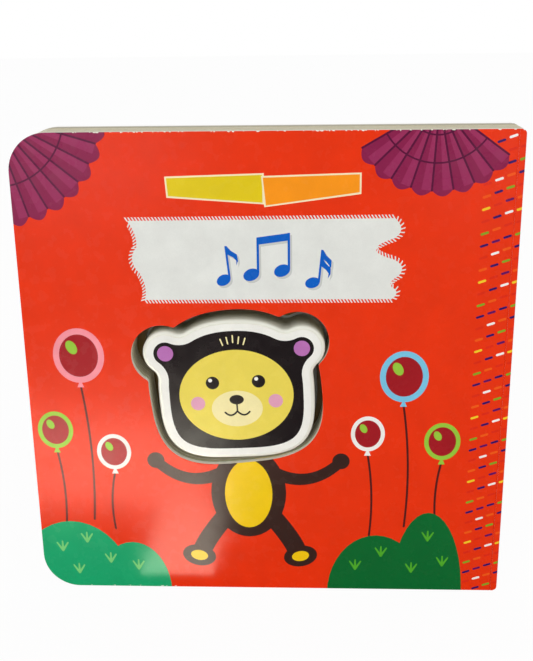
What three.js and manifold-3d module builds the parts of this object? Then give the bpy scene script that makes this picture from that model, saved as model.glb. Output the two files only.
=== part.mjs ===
// A board book with a big press button that stands through a window in every leaf.
// Millimetres, +Z up. The book stands upright: the front cover faces -Y, the spine is at +X.
// Depth is measured from the back face towards the front. The origin is under the middle.

import * as THREE from 'three';
import { mergeVertices } from 'three/addons/utils/BufferGeometryUtils.js';
import Module from 'manifold-3d';

const wasm = await Module();
wasm.setup();

// Boards of the book
const bookWidth = 180;
const bookHeight = 180;
const foreCorner = 14;
const spineCorner = 2;
const backBoard = 2.0;
const spacerBoard = 2.4;
const lastPageBoard = 1.6;
const leafCount = 6;
const leafBoard = 1.6;
const leafGap = 0.25;
const leafSetback = 0.3;
const gluedEdge = 3.0;
const coverGap = 0.3;
const coverBoard = 2.6;
const spineBoard = 1.0;
const hingeInset = 2.6;
const hingeGap = 0.3;

// Window: an oval head with two round ears, turned a little on the cover.
// The ears keep their place as shares of the oval.
const headHalfWidth = 32.3;
const headHalfHeight = 30.6;
const crownPower = 2.25;
const jawPower = 3.2;
const earRadius = 11.6;
const earAcrossShare = 0.783;
const earUpShare = 0.51;
const earFillet = 1.6;
const windowAcross = -11.9;
const windowUp = 85.3;
const windowTurn = 6;

// Button and its travel
const buttonTurn = 2.5;
const buttonShiftAcross = 0.5;
const buttonShiftUp = -0.6;
const buttonGap = 3.1;
const buttonProud = 1.0;
const buttonTravel = 2.0;
const buttonWall = 1.6;
const buttonTop = 1.8;
const buttonEdge = 1.0;
const labelInset = 0.3;
const labelSheet = 0.3;
const pageGap = 1.0;
const skirtSink = 0.3;
const ribWidth = 1.2;
const ribDepth = 2.0;
const edgeSteps = 3;
const plungerRadius = 3.2;
const puckRadius = 2.5;
const puckHeight = 1.3;
const puckSeat = 0.8;

// Guide posts, return springs and the screws that hold the button in
const postRadius = 1.8;
const postRun = 0.25;
const postOffset = 1.2;
const shoulderRadius = 3.6;
const pocketRadius = 3.3;
const pocketWall = 1.1;
const pocketRoof = 1.2;
const springCup = 1.2;
const springWire = 0.6;
const springRadius = 2.7;
const springTurns = 5;
const springLength = 7.0;
const springRun = 0.3;
const endClosing = 0.75;
const stepsPerTurn = 8;

// Screws: the head's flat and its recess are shares of the head
const screwHeadRadius = 2.7;
const screwHead = 1.1;
const screwShank = 1.0;
const screwLength = 5.0;
const screwStop = 0.3;
const screwRun = 0.3;
const headFlat = 0.75;
const headSide = 0.6;
const recessReach = 0.6;
const recessHalf = 0.14;
const recessDepth = 0.5;

// Base housing
const flangeMargin = 2.2;
const flangeCorner = 12;
const flangeGap = 0.5;
const floorPlate = 1.5;
const slideGap = 0.4;
const guideWall = 1.4;
const guideHeight = 9;
const housingWall = 1.2;
const spare = 0.6;
const seat = 0.1;

// Button cells, their contacts and the battery door
const cellRadius = 5.8;
const cellHeight = 5.4;
const cellStep = 12.2;
const cellGap = 0.4;
const cellCount = 3;
const contactPlate = 0.4;
const contactPip = 0.3;
const pipRadius = 1.2;
const contactWidth = 6;
const contactCorner = 1;
const cellRim = 0.35;
const doorThick = 1.6;
const doorSink = 0.3;
const doorMargin = 3.6;
const doorCorner = 3;
const doorGap = 0.4;
const doorBoss = 2.6;
const doorBossRise = 5;
const tabWidth = 6;
const tabReach = 0.9;
const tabThick = 0.8;
const tabRun = 0.2;
const doorHeadSink = 0.1;
const doorHead = 0.8;
const gripCount = 3;
const gripPitch = 1.4;
const gripWidth = 0.6;
const gripDepth = 0.4;
const gripHalfLength = 7;

// Speaker and circuit board
const speakerRim = 1.0;
const speakerBasket = 2.0;
const basketWall = 0.7;
const basketFoot = 1.6;
const basketStep = 1.2;
const magnetShare = 0.565;
const magnetHeight = 2.4;
const lugHalfWidth = 3;
const lugHeight = 0.5;
const film = 0.3;
const filmRise = 0.5;
const domeRise = 1.0;
const ringHeight = 2.2;
const soundHole = 1.2;
const soundRingShare = 0.48;
const soundRingCount = 6;
const boardThick = 1.0;
const boardCorner = 1.5;
const boardRise = 0.6;
const boardBoss = 2.2;
const boardMargin = 1.3;
const boardScrewRadius = 1.9;
const boardScrewHead = 1.2;
const boardScrewLength = 4;
const chipRadius = 4;
const chipHeight = 1.5;
const chipSteps = 5;
const resistorHalfLength = 1.6;
const resistorHalfWidth = 0.8;
const resistorCorner = 0.2;
const resistorHeight = 0.6;
const resistorDrop = 3;
const wireRadius = 0.5;
const wireApart = 2;
const wireClear = 1.3;
const wireBow = 2;
const wireLift = 1.4;
const solderAcross = 6;
const solderDrop = 2;

// Numbers of sides, and how far a cut runs past the solid that it cuts
const coarse = 12;
const medium = 14;
const fine = 20;
const past = 1;

// Everything below follows from the values above
const buttonAcross = windowAcross + buttonShiftAcross;
const buttonUp = windowUp + buttonShiftUp;
const earAcross = headHalfWidth * earAcrossShare;
const earUp = headHalfHeight * earUpShare;
const floorDepth = backBoard + spacerBoard + lastPageBoard;
const leafPitch = leafBoard + leafGap;
const blockFront = floorDepth + leafCount * leafPitch;
const coverBack = blockFront + coverGap;
const coverFront = coverBack + coverBoard;
const faceDepth = coverFront + buttonProud;
const capFront = faceDepth - labelSheet;
const capUnder = capFront - buttonTop;
const skirtDepth = floorDepth - skirtSink;
const plateFront = backBoard + floorPlate;
const halfWidth = bookWidth / 2;
const hingeX = halfWidth - hingeInset;
const leafRight = halfWidth - spineBoard;

const flangeHalfWidth = Math.max(headHalfWidth, earAcross + earRadius) + flangeMargin;
const flangeHalfHeight = Math.max(headHalfHeight, earUp + earRadius) + flangeMargin;

const doorFront = doorSink + doorThick;
const doorNeck = doorSink + doorHeadSink + doorHead;
const cellBack = doorFront + seat + contactPlate + contactPip + seat;
const cellFront = cellBack + cellHeight;
const boxRoofBack = cellFront + seat + contactPip + contactPlate;
const boxRoofFront = boxRoofBack + housingWall;
const boardBack = boxRoofFront + boardRise;
const boardFront = boardBack + boardThick;
const puckBack = boardFront + buttonTravel + seat;
const plungerBack = puckBack + puckHeight - puckSeat;

const guideOuterGrow = -(buttonGap + buttonWall + slideGap);
const guideInnerGrow = guideOuterGrow - guideWall;
const boxHalfHeight = cellRadius + cellGap + housingWall;
const rowHalf = ((cellCount - 1) * cellStep) / 2;
const doorScrewUp = -(headHalfHeight + guideInnerGrow) + doorBoss - spare;
const rowUp = doorScrewUp + doorBoss + boxHalfHeight + seat;
const doorTop = rowUp + cellRadius + cellGap + housingWall;
const doorBottom = doorScrewUp - doorBoss - spare;
const doorHalfWidth = rowHalf + cellRadius + cellGap + doorMargin;
const speakerBottom = rowUp + boxHalfHeight + housingWall + spare;
const speakerTop = headHalfHeight + guideInnerGrow - housingWall - seat - spare;
const speakerRadius = (speakerTop - speakerBottom) / 2;
const speakerUp = (speakerTop + speakerBottom) / 2;
const magnetRadius = speakerRadius * magnetShare;
const soundHoleRing = speakerRadius * soundRingShare;
const pocketOuter = pocketRadius + pocketWall;
const pocketRoofBack = backBoard + spacerBoard + floorPlate;
const pocketRoofFront = pocketRoofBack + pocketRoof;
const postEnd = pocketRoofBack - screwStop;
const shoulderBack = pocketRoofFront + springLength + 2 * seat;
const sidePostAcross = headHalfWidth + guideInnerGrow - pocketOuter - spare;
const sidePostReach = pocketOuter + boxHalfHeight + spare;
const sidePostUp = rowUp + Math.sqrt(Math.max(0, sidePostReach ** 2 - (sidePostAcross - rowHalf) ** 2));
const boardHalfWidth = sidePostAcross - springRadius - springWire / 2 - seat;
const boardScrewAcross = boardHalfWidth - boardBoss - boardMargin;
const bossReach = speakerRadius + seat + boardBoss + spare;
const boardScrewUp = speakerUp - Math.sqrt(Math.max(0, bossReach ** 2 - boardScrewAcross ** 2));
const boardTop = boardScrewUp + boardBoss;
const boardBottom = rowUp - boardBoss - 2 * spare;
const plungerUp = (boardTop + boardBottom) / 2;

const posts = [
  { name: 'left_ear', x: -earAcross - postOffset, y: earUp + postOffset },
  { name: 'right_ear', x: earAcross + postOffset, y: earUp + postOffset },
  { name: 'left_side', x: -sidePostAcross, y: sidePostUp },
  { name: 'right_side', x: sidePostAcross, y: sidePostUp },
];

const materials = {
  coverPrint: { color: 0xeb4012, roughness: 0.28, metalness: 0 },
  greyboard: { color: 0xb9b4a6, roughness: 0.9, metalness: 0 },
  page: { color: 0xe6e2d4, roughness: 0.55, metalness: 0 },
  label: { color: 0xe8d455, roughness: 0.3, metalness: 0 },
  cap: { color: 0xe2e0cf, roughness: 0.4, metalness: 0 },
  housing: { color: 0xdcdad0, roughness: 0.5, metalness: 0 },
  rubber: { color: 0x222222, roughness: 0.9, metalness: 0 },
  steel: { color: 0xb8bcc0, roughness: 0.35, metalness: 1 },
  circuit: { color: 0x1f6b3a, roughness: 0.5, metalness: 0 },
  resin: { color: 0x101010, roughness: 0.35, metalness: 0 },
  basket: { color: 0x9a9da1, roughness: 0.4, metalness: 1 },
  film: { color: 0x3a3d40, roughness: 0.4, metalness: 0 },
  redWire: { color: 0xb01818, roughness: 0.5, metalness: 0 },
  blackWire: { color: 0x161616, roughness: 0.5, metalness: 0 },
};

// Depth from the back face becomes Y, with the book centred on Y = 0
const depthToY = (depth) => faceDepth / 2 - depth;
const radians = THREE.MathUtils.degToRad;

// Solids

function solid(geometry) {
  const bare = new THREE.BufferGeometry();
  bare.setAttribute('position', geometry.getAttribute('position').clone());
  if (geometry.index) bare.setIndex(geometry.index.clone());
  const merged = mergeVertices(bare);
  const corners = merged.index.array;
  const kept = [];
  for (let i = 0; i < corners.length; i += 3) {
    const [a, b, c] = corners.slice(i, i + 3);
    if (a !== b && b !== c && c !== a) kept.push(a, b, c);
  }
  return new wasm.Manifold(new wasm.Mesh({
    numProp: 3,
    vertProperties: new Float32Array(merged.getAttribute('position').array),
    triVerts: new Uint32Array(kept),
  }));
}

const join = (first, ...others) => others.reduce((whole, piece) => whole.add(piece), first);
const cut = (first, ...others) => others.reduce((whole, piece) => whole.subtract(piece), first);

function named(name, body, material) {
  const surface = body.getMesh();
  const geometry = new THREE.BufferGeometry();
  geometry.setAttribute('position', new THREE.BufferAttribute(new Float32Array(surface.vertProperties), 3));
  geometry.setIndex(new THREE.BufferAttribute(new Uint32Array(surface.triVerts), 1));
  geometry.computeVertexNormals();
  const mesh = new THREE.Mesh(geometry, new THREE.MeshStandardMaterial(material));
  mesh.name = name;
  return mesh;
}

// A flat outline in X and Z, made solid between two depths
function slab(outline, from, to) {
  const geometry = new THREE.ExtrudeGeometry(new THREE.Shape(outline), { depth: 1, bevelEnabled: false });
  const place = geometry.getAttribute('position');
  for (let i = 0; i < place.count; i++) {
    const depth = place.getZ(i) < 0.5 ? from : to;
    place.setXYZ(i, place.getX(i), depthToY(depth), place.getY(i));
  }
  return solid(geometry);
}

// A profile of [radius, depth] pairs, turned about an axis along Y
function turned(profile, x, up, sides = fine) {
  const points = profile.map(([radius, depth]) => new THREE.Vector2(radius, depth));
  const geometry = new THREE.LatheGeometry(points, sides);
  const place = geometry.getAttribute('position');
  for (let i = 0; i < place.count; i++) {
    place.setXYZ(i, x + place.getX(i), depthToY(place.getY(i)), up - place.getZ(i));
  }
  return solid(geometry);
}

const rod = (x, up, radius, from, to, sides = medium) =>
  turned([[0, from], [radius, from], [radius, to], [0, to]], x, up, sides);

// A stack of rings with equal numbers of points, closed at both ends
function loft(rings) {
  const count = rings[0].outline.length;
  const position = [];
  for (const ring of rings) {
    for (const point of ring.outline) position.push(point.x, depthToY(ring.depth), point.y);
  }
  const index = [];
  for (let r = 0; r + 1 < rings.length; r++) {
    for (let i = 0; i < count; i++) {
      const here = r * count + i;
      const next = r * count + ((i + 1) % count);
      index.push(here, next, next + count, here, next + count, here + count);
    }
  }
  const last = (rings.length - 1) * count;
  for (const [a, b, c] of THREE.ShapeUtils.triangulateShape(rings[0].outline, [])) index.push(a, c, b);
  for (const [a, b, c] of THREE.ShapeUtils.triangulateShape(rings[rings.length - 1].outline, [])) {
    index.push(last + a, last + b, last + c);
  }
  const geometry = new THREE.BufferGeometry();
  geometry.setAttribute('position', new THREE.Float32BufferAttribute(position, 3));
  geometry.setIndex(index);
  return solid(geometry);
}

// Outlines

const large = radians(9);
const small = radians(15);
const halvings = 40;

// Points along an arc, without its last one
function arc(points, centre, radius, from, to, step = small) {
  const count = Math.max(1, Math.round(Math.abs(to - from) / step));
  for (let i = 0; i < count; i++) {
    const angle = from + ((to - from) * i) / count;
    points.push(new THREE.Vector2(centre.x + radius * Math.cos(angle), centre.y + radius * Math.sin(angle)));
  }
}

// A rectangle with a radius at each corner, from lower left round to upper left
function rectangle(left, right, bottom, top, radii) {
  const points = [];
  const corners = [[left, bottom], [right, bottom], [right, top], [left, top]];
  const inward = [[1, 1], [-1, 1], [-1, -1], [1, -1]];
  corners.forEach(([x, y], i) => {
    const radius = radii[i];
    const centre = { x: x + inward[i][0] * radius, y: y + inward[i][1] * radius };
    const start = Math.PI * (1 + i / 2);
    if (radius > 0) arc(points, centre, radius, start, start + Math.PI / 2);
    points.push(new THREE.Vector2(
      centre.x + radius * Math.cos(start + Math.PI / 2),
      centre.y + radius * Math.sin(start + Math.PI / 2),
    ));
  });
  return points;
}

const sharp = [0, 0, 0, 0];

const evenRectangle = (halfAcross, halfUp, radius, x = 0, y = 0) =>
  rectangle(x - halfAcross, x + halfAcross, y - halfUp, y + halfUp, [radius, radius, radius, radius]);

const direction = (from, to) => Math.atan2(to.y - from.y, to.x - from.x);

// A point beside the head's oval, moved out by grow along its normal. The oval is a
// superellipse with a round crown and a squarer jaw.
function ovalPoint(t, grow) {
  const power = Math.sin(t) < 0 ? jawPower : crownPower;
  const across = Math.sign(Math.cos(t)) * Math.abs(Math.cos(t)) ** (2 / power);
  const up = Math.sign(Math.sin(t)) * Math.abs(Math.sin(t)) ** (2 / power);
  const normal = new THREE.Vector2(
    (Math.sign(across) * Math.abs(across) ** (power - 1)) / headHalfWidth,
    (Math.sign(up) * Math.abs(up) ** (power - 1)) / headHalfHeight,
  ).normalize();
  return new THREE.Vector2(headHalfWidth * across, headHalfHeight * up).addScaledVector(normal, grow);
}

const outward = (t) => direction(ovalPoint(t, 0), ovalPoint(t, 1));

function ovalRun(points, from, to, grow) {
  const count = Math.max(1, Math.round((to - from) / large));
  for (let i = 0; i < count; i++) points.push(ovalPoint(from + ((to - from) * i) / count, grow));
}

// Where a fillet rolls between the oval and the ear, found by halving from the ear outwards
function filletTouch(outside) {
  let near = Math.atan2(earUp / headHalfHeight, earAcross / headHalfWidth);
  let far = outside;
  for (let i = 0; i < halvings; i++) {
    const middle = (near + far) / 2;
    const centre = ovalPoint(middle, earFillet);
    const apart = Math.hypot(centre.x - earAcross, centre.y - earUp) - earRadius - earFillet;
    if (apart < 0) near = middle;
    else far = middle;
  }
  return far;
}

// The whole head outline with its ears, each side moved out by grow
function head(grow) {
  const ear = { x: earAcross, y: earUp };
  const lowTouch = filletTouch(-Math.PI / 2);
  const highTouch = filletTouch(Math.PI / 2);
  const low = ovalPoint(lowTouch, earFillet);
  const high = ovalPoint(highTouch, earFillet);
  const right = [];
  ovalRun(right, -Math.PI / 2, lowTouch, grow);
  arc(right, low, earFillet - grow, outward(lowTouch) + Math.PI, direction(low, ear));
  arc(right, ear, earRadius + grow, direction(ear, low), direction(ear, high));
  arc(right, high, earFillet - grow, direction(high, ear), outward(highTouch) - Math.PI);
  ovalRun(right, highTouch, Math.PI / 2, grow);
  right.push(ovalPoint(Math.PI / 2, grow));
  const left = right.slice(1, -1).reverse().map((point) => new THREE.Vector2(-point.x, point.y));
  return [...right, ...left];
}

// The oval alone, without ears
function oval(grow) {
  const points = [];
  ovalRun(points, 0, 2 * Math.PI, grow);
  return points;
}

function placed(outline, turn, across, up) {
  const middle = new THREE.Vector2(0, 0);
  const shift = new THREE.Vector2(across, up);
  return outline.map((point) => point.clone().rotateAround(middle, radians(turn)).add(shift));
}

const onButton = (outline) => placed(outline, buttonTurn, buttonAcross, buttonUp);
const windowOutline = () => placed(head(0), windowTurn, windowAcross, windowUp);

const circle = (x, y, radius, sides = coarse) => {
  const points = [];
  arc(points, { x, y }, radius, 0, 2 * Math.PI, (2 * Math.PI) / sides);
  return points;
};

// One hole in the middle and a ring of holes round it
const soundHoles = () => {
  const centres = [[0, speakerUp]];
  for (let i = 0; i < soundRingCount; i++) {
    const angle = (2 * Math.PI * i) / soundRingCount;
    centres.push([soundHoleRing * Math.cos(angle), speakerUp + soundHoleRing * Math.sin(angle)]);
  }
  return centres.map(([x, y]) => circle(x, y, soundHole, 8));
};

const doorOutline = (grow) => rectangle(
  -doorHalfWidth - grow, doorHalfWidth + grow, doorBottom - grow, doorTop + grow,
  Array(4).fill(doorCorner + Math.max(0, grow)),
);

// Boards

const boardOutline = (left, right) =>
  rectangle(left, right, 0, bookHeight, [foreCorner, 0, 0, foreCorner]);

function backCover() {
  const body = slab(boardOutline(-halfWidth, hingeX - hingeGap / 2), 0, backBoard);
  const doorway = slab(onButton(doorOutline(doorGap + housingWall + flangeGap)), -past, backBoard + past);
  const holes = soundHoles().map((hole) => slab(onButton(hole), -past, backBoard + past));
  return named('back_cover', cut(body, doorway, ...holes), materials.coverPrint);
}

function spacer() {
  const body = slab(boardOutline(-halfWidth + leafSetback, leafRight), backBoard, backBoard + spacerBoard);
  const opening = evenRectangle(
    flangeHalfWidth + flangeGap, flangeHalfHeight + flangeGap, flangeCorner + flangeGap);
  return named('spacer_board', cut(body, slab(onButton(opening), 0, floorDepth)), materials.greyboard);
}

function lastPage() {
  const body = slab(boardOutline(-halfWidth + leafSetback, leafRight), backBoard + spacerBoard, floorDepth);
  const opening = slab(onButton(head(pageGap - buttonGap)), 0, blockFront);
  return named('last_page', cut(body, opening), materials.page);
}

// The leaves stand a little apart and meet in a glued edge along the spine
function pageBlock() {
  const glue = slab(
    rectangle(leafRight - gluedEdge, leafRight, 0, bookHeight, sharp), floorDepth, blockFront);
  const leaves = [];
  for (let i = 0; i < leafCount; i++) {
    const front = blockFront - i * leafPitch;
    leaves.push(slab(boardOutline(-halfWidth + leafSetback, leafRight), front - leafBoard, front));
  }
  const window = slab(windowOutline(), 0, coverFront);
  return named('page_block', cut(join(glue, ...leaves), window), materials.page);
}

// The spine strip with the lip in front of the crease, and a thinner lip at the back
function spine() {
  const lipEnd = hingeX + hingeGap / 2;
  const wall = slab(
    rectangle(leafRight, halfWidth, 0, bookHeight, sharp), 0, coverFront);
  const lip = (from, to) => slab(
    rectangle(lipEnd, halfWidth, 0, bookHeight, sharp), from, to);
  const blank = join(wall, lip(coverBack, coverFront), lip(0, backBoard));
  const profile = slab(
    rectangle(lipEnd - past, halfWidth, 0, bookHeight, [0, spineCorner, spineCorner, 0]), 0, coverFront);
  return named('spine_wrap', blank.intersect(profile), materials.coverPrint);
}

function frontCover() {
  const body = slab(boardOutline(-halfWidth, hingeX - hingeGap / 2), coverBack, coverFront);
  return named('front_cover', cut(body, slab(windowOutline(), 0, faceDepth)), materials.coverPrint);
}

// Button

function buttonCap() {
  const outer = -buttonGap;
  const rings = [
    { outline: head(outer), depth: skirtDepth },
    { outline: head(outer), depth: capFront - buttonEdge },
  ];
  for (let i = 1; i <= edgeSteps; i++) {
    const angle = ((Math.PI / 2) * i) / edgeSteps;
    const inset = buttonEdge * (1 - Math.cos(angle));
    rings.push({ outline: head(outer - inset), depth: capFront - buttonEdge * (1 - Math.sin(angle)) });
  }
  const hollow = slab(head(outer - buttonWall), 0, capUnder);
  const deep = capUnder + buttonTop / 2;

  const pins = posts.map(({ x, y }) => join(
    rod(x, y, shoulderRadius, shoulderBack, deep),
    rod(x, y, postRadius, postEnd, deep, coarse),
  ));
  const ribs = posts.map(({ x, y }) => {
    const length = Math.hypot(x, y - plungerUp);
    const bar = rectangle(0, length, -ribWidth / 2, ribWidth / 2, sharp);
    const angle = Math.atan2(y - plungerUp, x);
    const middle = new THREE.Vector2(0, 0);
    const shift = new THREE.Vector2(0, plungerUp);
    return slab(bar.map((p) => p.rotateAround(middle, angle).add(shift)), capUnder - ribDepth, deep);
  });
  const plunger = rod(0, plungerUp, plungerRadius, plungerBack, deep, fine);
  const puckHole = rod(0, plungerUp, puckRadius + seat, 0, puckBack + puckHeight, fine);
  const screwHoles = posts.map(({ x, y }) =>
    rod(x, y, screwShank + seat, 0, postEnd + screwLength + seat, coarse));

  const body = join(cut(loft(rings), hollow), plunger, ...pins, ...ribs);
  return named('button_cap', cut(body, puckHole, ...screwHoles), materials.cap);
}

const faceLabel = () => named(
  'face_label', slab(head(-buttonGap - buttonEdge - labelInset), capFront, faceDepth), materials.label);

const contactPuck = () => named(
  'contact_puck',
  rod(0, plungerUp, puckRadius, puckBack, puckBack + puckHeight - seat, fine),
  materials.rubber,
);

// A pan head screw with a cross recess. Its shank runs from the neck, forwards (1) or back (-1).
function screw(name, x, y, headRadius, headHeight, neck, towards, length) {
  const along = (reach) => neck + towards * reach;
  const profile = [
    [0, -headHeight], [headRadius * headFlat, -headHeight], [headRadius, -headHeight * headSide],
    [headRadius, 0], [screwShank, 0], [screwShank, length - screwShank], [0, length],
  ].map(([radius, reach]) => [radius, along(reach)]);
  if (towards < 0) profile.reverse();
  const long = headRadius * recessReach;
  const short = headRadius * recessHalf;
  const floor = along(-headHeight * recessDepth);
  const open = along(-headHeight - past);
  const recess = [[long, short], [short, long]].map(([halfAcross, halfUp]) => slab(
    rectangle(x - halfAcross, x + halfAcross, y - halfUp, y + halfUp, sharp),
    Math.min(floor, open), Math.max(floor, open)));
  return named(name, cut(turned(profile, x, y, coarse), ...recess), materials.steel);
}

const capScrews = () => posts.map(({ name, x, y }) =>
  screw(`cap_screw_${name}`, x, y, screwHeadRadius, screwHead, postEnd, 1, screwLength));

// A compression spring whose end turns lie close
class SpringLine extends THREE.Curve {
  constructor(x, y, from, to) {
    super();
    Object.assign(this, { x, y, from, to });
  }

  getPoint(t, target = new THREE.Vector3()) {
    const angle = 2 * Math.PI * springTurns * t;
    const rise = t - (endClosing * Math.sin(2 * Math.PI * t)) / (2 * Math.PI);
    const depth = this.from + (this.to - this.from) * rise;
    return target.set(
      this.x + springRadius * Math.cos(angle),
      depthToY(depth),
      this.y + springRadius * Math.sin(angle),
    );
  }
}

function returnSprings() {
  const half = springWire / 2;
  return posts.map(({ name, x, y }) => {
    const line = new SpringLine(x, y, pocketRoofFront + seat + half, shoulderBack - seat - half);
    const section = new THREE.Shape(circle(0, 0, half, 5));
    const steps = springTurns * stepsPerTurn;
    const geometry = new THREE.ExtrudeGeometry(section, { steps, extrudePath: line });
    return named(`return_spring_${name}`, solid(geometry), materials.steel);
  });
}

// Base housing

const rowOutline = (radius) => {
  const points = [];
  arc(points, { x: rowHalf, y: rowUp }, radius, -Math.PI / 2, Math.PI / 2);
  points.push(new THREE.Vector2(rowHalf, rowUp + radius));
  arc(points, { x: -rowHalf, y: rowUp }, radius, Math.PI / 2, (3 * Math.PI) / 2);
  points.push(new THREE.Vector2(-rowHalf, rowUp - radius));
  return points;
};

const boardScrews = [
  { name: 'left', x: -boardScrewAcross, y: boardScrewUp },
  { name: 'right', x: boardScrewAcross, y: boardScrewUp },
];
const tabs = [-1, 1].map((side) => (side * doorHalfWidth) / 2);
const tabOutline = (x, grow) => rectangle(
  x - tabWidth / 2 - grow, x + tabWidth / 2 + grow,
  doorTop - past, doorTop + doorGap + tabReach + grow, sharp);

function baseHousing() {
  const flange = slab(evenRectangle(flangeHalfWidth, flangeHalfHeight, flangeCorner),
    backBoard, backBoard + spacerBoard);
  const sink = slab(head(pageGap - buttonGap), plateFront, floorDepth);
  const guide = cut(
    slab(oval(guideOuterGrow), backBoard, plateFront + guideHeight),
    slab(oval(guideInnerGrow), 0, coverFront),
  );
  const rowBox = slab(rowOutline(boxHalfHeight), backBoard, boxRoofFront);
  const doorRim = cut(
    slab(doorOutline(doorGap + housingWall), doorSink, backBoard + floorPlate / 2),
    slab(doorOutline(doorGap), 0, backBoard),
  );
  const speakerRing = cut(
    rod(0, speakerUp, speakerRadius + seat + housingWall, backBoard, plateFront + ringHeight, fine),
    rod(0, speakerUp, speakerRadius + seat, 0, coverFront, fine),
  );
  const pockets = posts.map(({ x, y }) => rod(x, y, pocketOuter, backBoard, pocketRoofFront + springCup));
  const bosses = boardScrews.map(({ x, y }) => rod(x, y, boardBoss, backBoard, boardBack - seat));
  const lowBosses = boardScrews.map(({ x }) =>
    rod(x, rowUp, boardBoss, boxRoofFront - spare, boardBack - seat));
  const doorScrewBoss = rod(0, doorScrewUp, doorBoss, backBoard, plateFront + doorBossRise);

  const rowHole = slab(rowOutline(cellRadius + cellGap), 0, boxRoofBack);
  const doorScrewHole = rod(
    0, doorScrewUp, screwShank + seat, 0, doorNeck + screwLength + seat, coarse);
  const bores = boardScrews.map(({ x, y }) =>
    rod(x, y, screwShank + seat, boardFront - boardScrewLength - seat, coverFront, coarse));
  const pocketBores = posts.flatMap(({ x, y }) => [
    rod(x, y, pocketRadius, 0, pocketRoofBack),
    rod(x, y, postRadius + postRun, 0, coverFront, coarse),
    rod(x, y, springRadius + springWire / 2 + springRun, pocketRoofFront, coverFront),
  ]);
  const grille = soundHoles().map((hole) => slab(hole, 0, coverFront));
  const tabSlots = tabs.map((x) => slab(tabOutline(x, tabRun), doorFront - tabThick - tabRun, backBoard));

  const shell = join(cut(flange, sink), guide, rowBox, doorRim, speakerRing,
    doorScrewBoss, ...pockets, ...bosses, ...lowBosses);
  const body = cut(shell, rowHole, doorScrewHole, ...bores, ...pocketBores, ...grille, ...tabSlots);
  return named('base_housing', body, materials.housing);
}

function batteryDoor() {
  const plate = slab(doorOutline(0), doorSink, doorFront);
  const lips = tabs.map((x) => slab(tabOutline(x, 0), doorFront - tabThick, doorFront));
  const bore = rod(0, doorScrewUp, screwShank + screwRun, 0, backBoard, coarse);
  const headSeat = rod(0, doorScrewUp, screwHeadRadius + screwRun, 0, doorNeck);
  const grips = [];
  for (let i = 0; i < gripCount; i++) {
    const up = doorTop - doorCorner + gripPitch / 2 - i * gripPitch;
    const outline = evenRectangle(gripHalfLength, gripWidth / 2, 0, 0, up - gripWidth);
    grips.push(slab(outline, 0, doorSink + gripDepth));
  }
  return named('battery_door', cut(join(plate, ...lips), bore, headSeat, ...grips), materials.housing);
}

const doorScrew = () => screw(
  'door_screw', 0, doorScrewUp, screwHeadRadius, doorHead, doorNeck, 1, screwLength);

// Button cells with a stepped can
function cells() {
  const row = [];
  for (let i = 0; i < cellCount; i++) {
    const x = (i - (cellCount - 1) / 2) * cellStep;
    row.push(named(`button_cell_${i + 1}`, turned([
      [0, cellBack], [cellRadius - cellRim, cellBack], [cellRadius, cellBack + cellRim],
      [cellRadius, cellFront - 3 * cellRim], [cellRadius - 2 * cellRim, cellFront - 2 * cellRim],
      [cellRadius - 3 * cellRim, cellFront], [0, cellFront],
    ], x, rowUp), materials.steel));
  }
  return row;
}

// Stamped plates with a pip towards each cell that they touch
function contact(name, from, to, plateBack, pipFrom, pipTo) {
  const left = from - contactWidth / 2;
  const right = to + contactWidth / 2;
  const plate = slab(rectangle(
    left, right, rowUp - contactWidth / 2, rowUp + contactWidth / 2, Array(4).fill(contactCorner)),
  plateBack, plateBack + contactPlate);
  const touched = from === to ? [from] : [from, to];
  const pips = touched.map((x) => rod(x, rowUp, pipRadius, pipFrom, pipTo, coarse));
  return named(name, join(plate, ...pips), materials.steel);
}

function contacts() {
  const innerBack = boxRoofBack - contactPlate;
  const innerPip = [innerBack - contactPip, innerBack + contactPlate / 2];
  const doorBack = doorFront + seat;
  const doorPip = [doorBack + contactPlate / 2, doorBack + contactPlate + contactPip];
  return [
    contact('contact_inner_pair', -cellStep, 0, innerBack, ...innerPip),
    contact('contact_inner_single', cellStep, cellStep, innerBack, ...innerPip),
    contact('contact_door_pair', 0, cellStep, doorBack, ...doorPip),
    contact('contact_door_single', -cellStep, -cellStep, doorBack, ...doorPip),
  ];
}

// Speaker, face down on the floor plate

const speakerBack = plateFront + seat;
const rimFront = speakerBack + speakerRim;
const basketFront = rimFront + speakerBasket;

function speakerFrame() {
  const foot = speakerRadius - basketFoot;
  const neck = magnetRadius + basketStep;
  const lip = magnetRadius - basketFoot;
  const basket = turned([
    [foot, speakerBack], [speakerRadius, speakerBack], [speakerRadius, rimFront],
    [speakerRadius - basketStep, rimFront], [neck, basketFront], [lip, basketFront],
    [lip, basketFront - basketWall], [neck - basketWall / 2, basketFront - basketWall],
    [foot, rimFront - basketWall / 2], [foot, speakerBack],
  ], 0, speakerUp);
  const lugTop = speakerUp - magnetRadius + spare;
  const lug = slab(
    rectangle(-lugHalfWidth, lugHalfWidth, lugTop - basketFoot, lugTop, sharp),
    basketFront - basketWall, basketFront + lugHeight);
  const magnetRoom = rod(0, speakerUp, magnetRadius - past + seat, basketFront, coverFront, fine);
  return named('speaker_frame', cut(join(basket, lug), magnetRoom), materials.basket);
}

function speakerMagnet() {
  const back = basketFront + seat;
  const body = rod(0, speakerUp, magnetRadius - past, back, back + magnetHeight, fine);
  return named('speaker_magnet', body, materials.steel);
}

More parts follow.
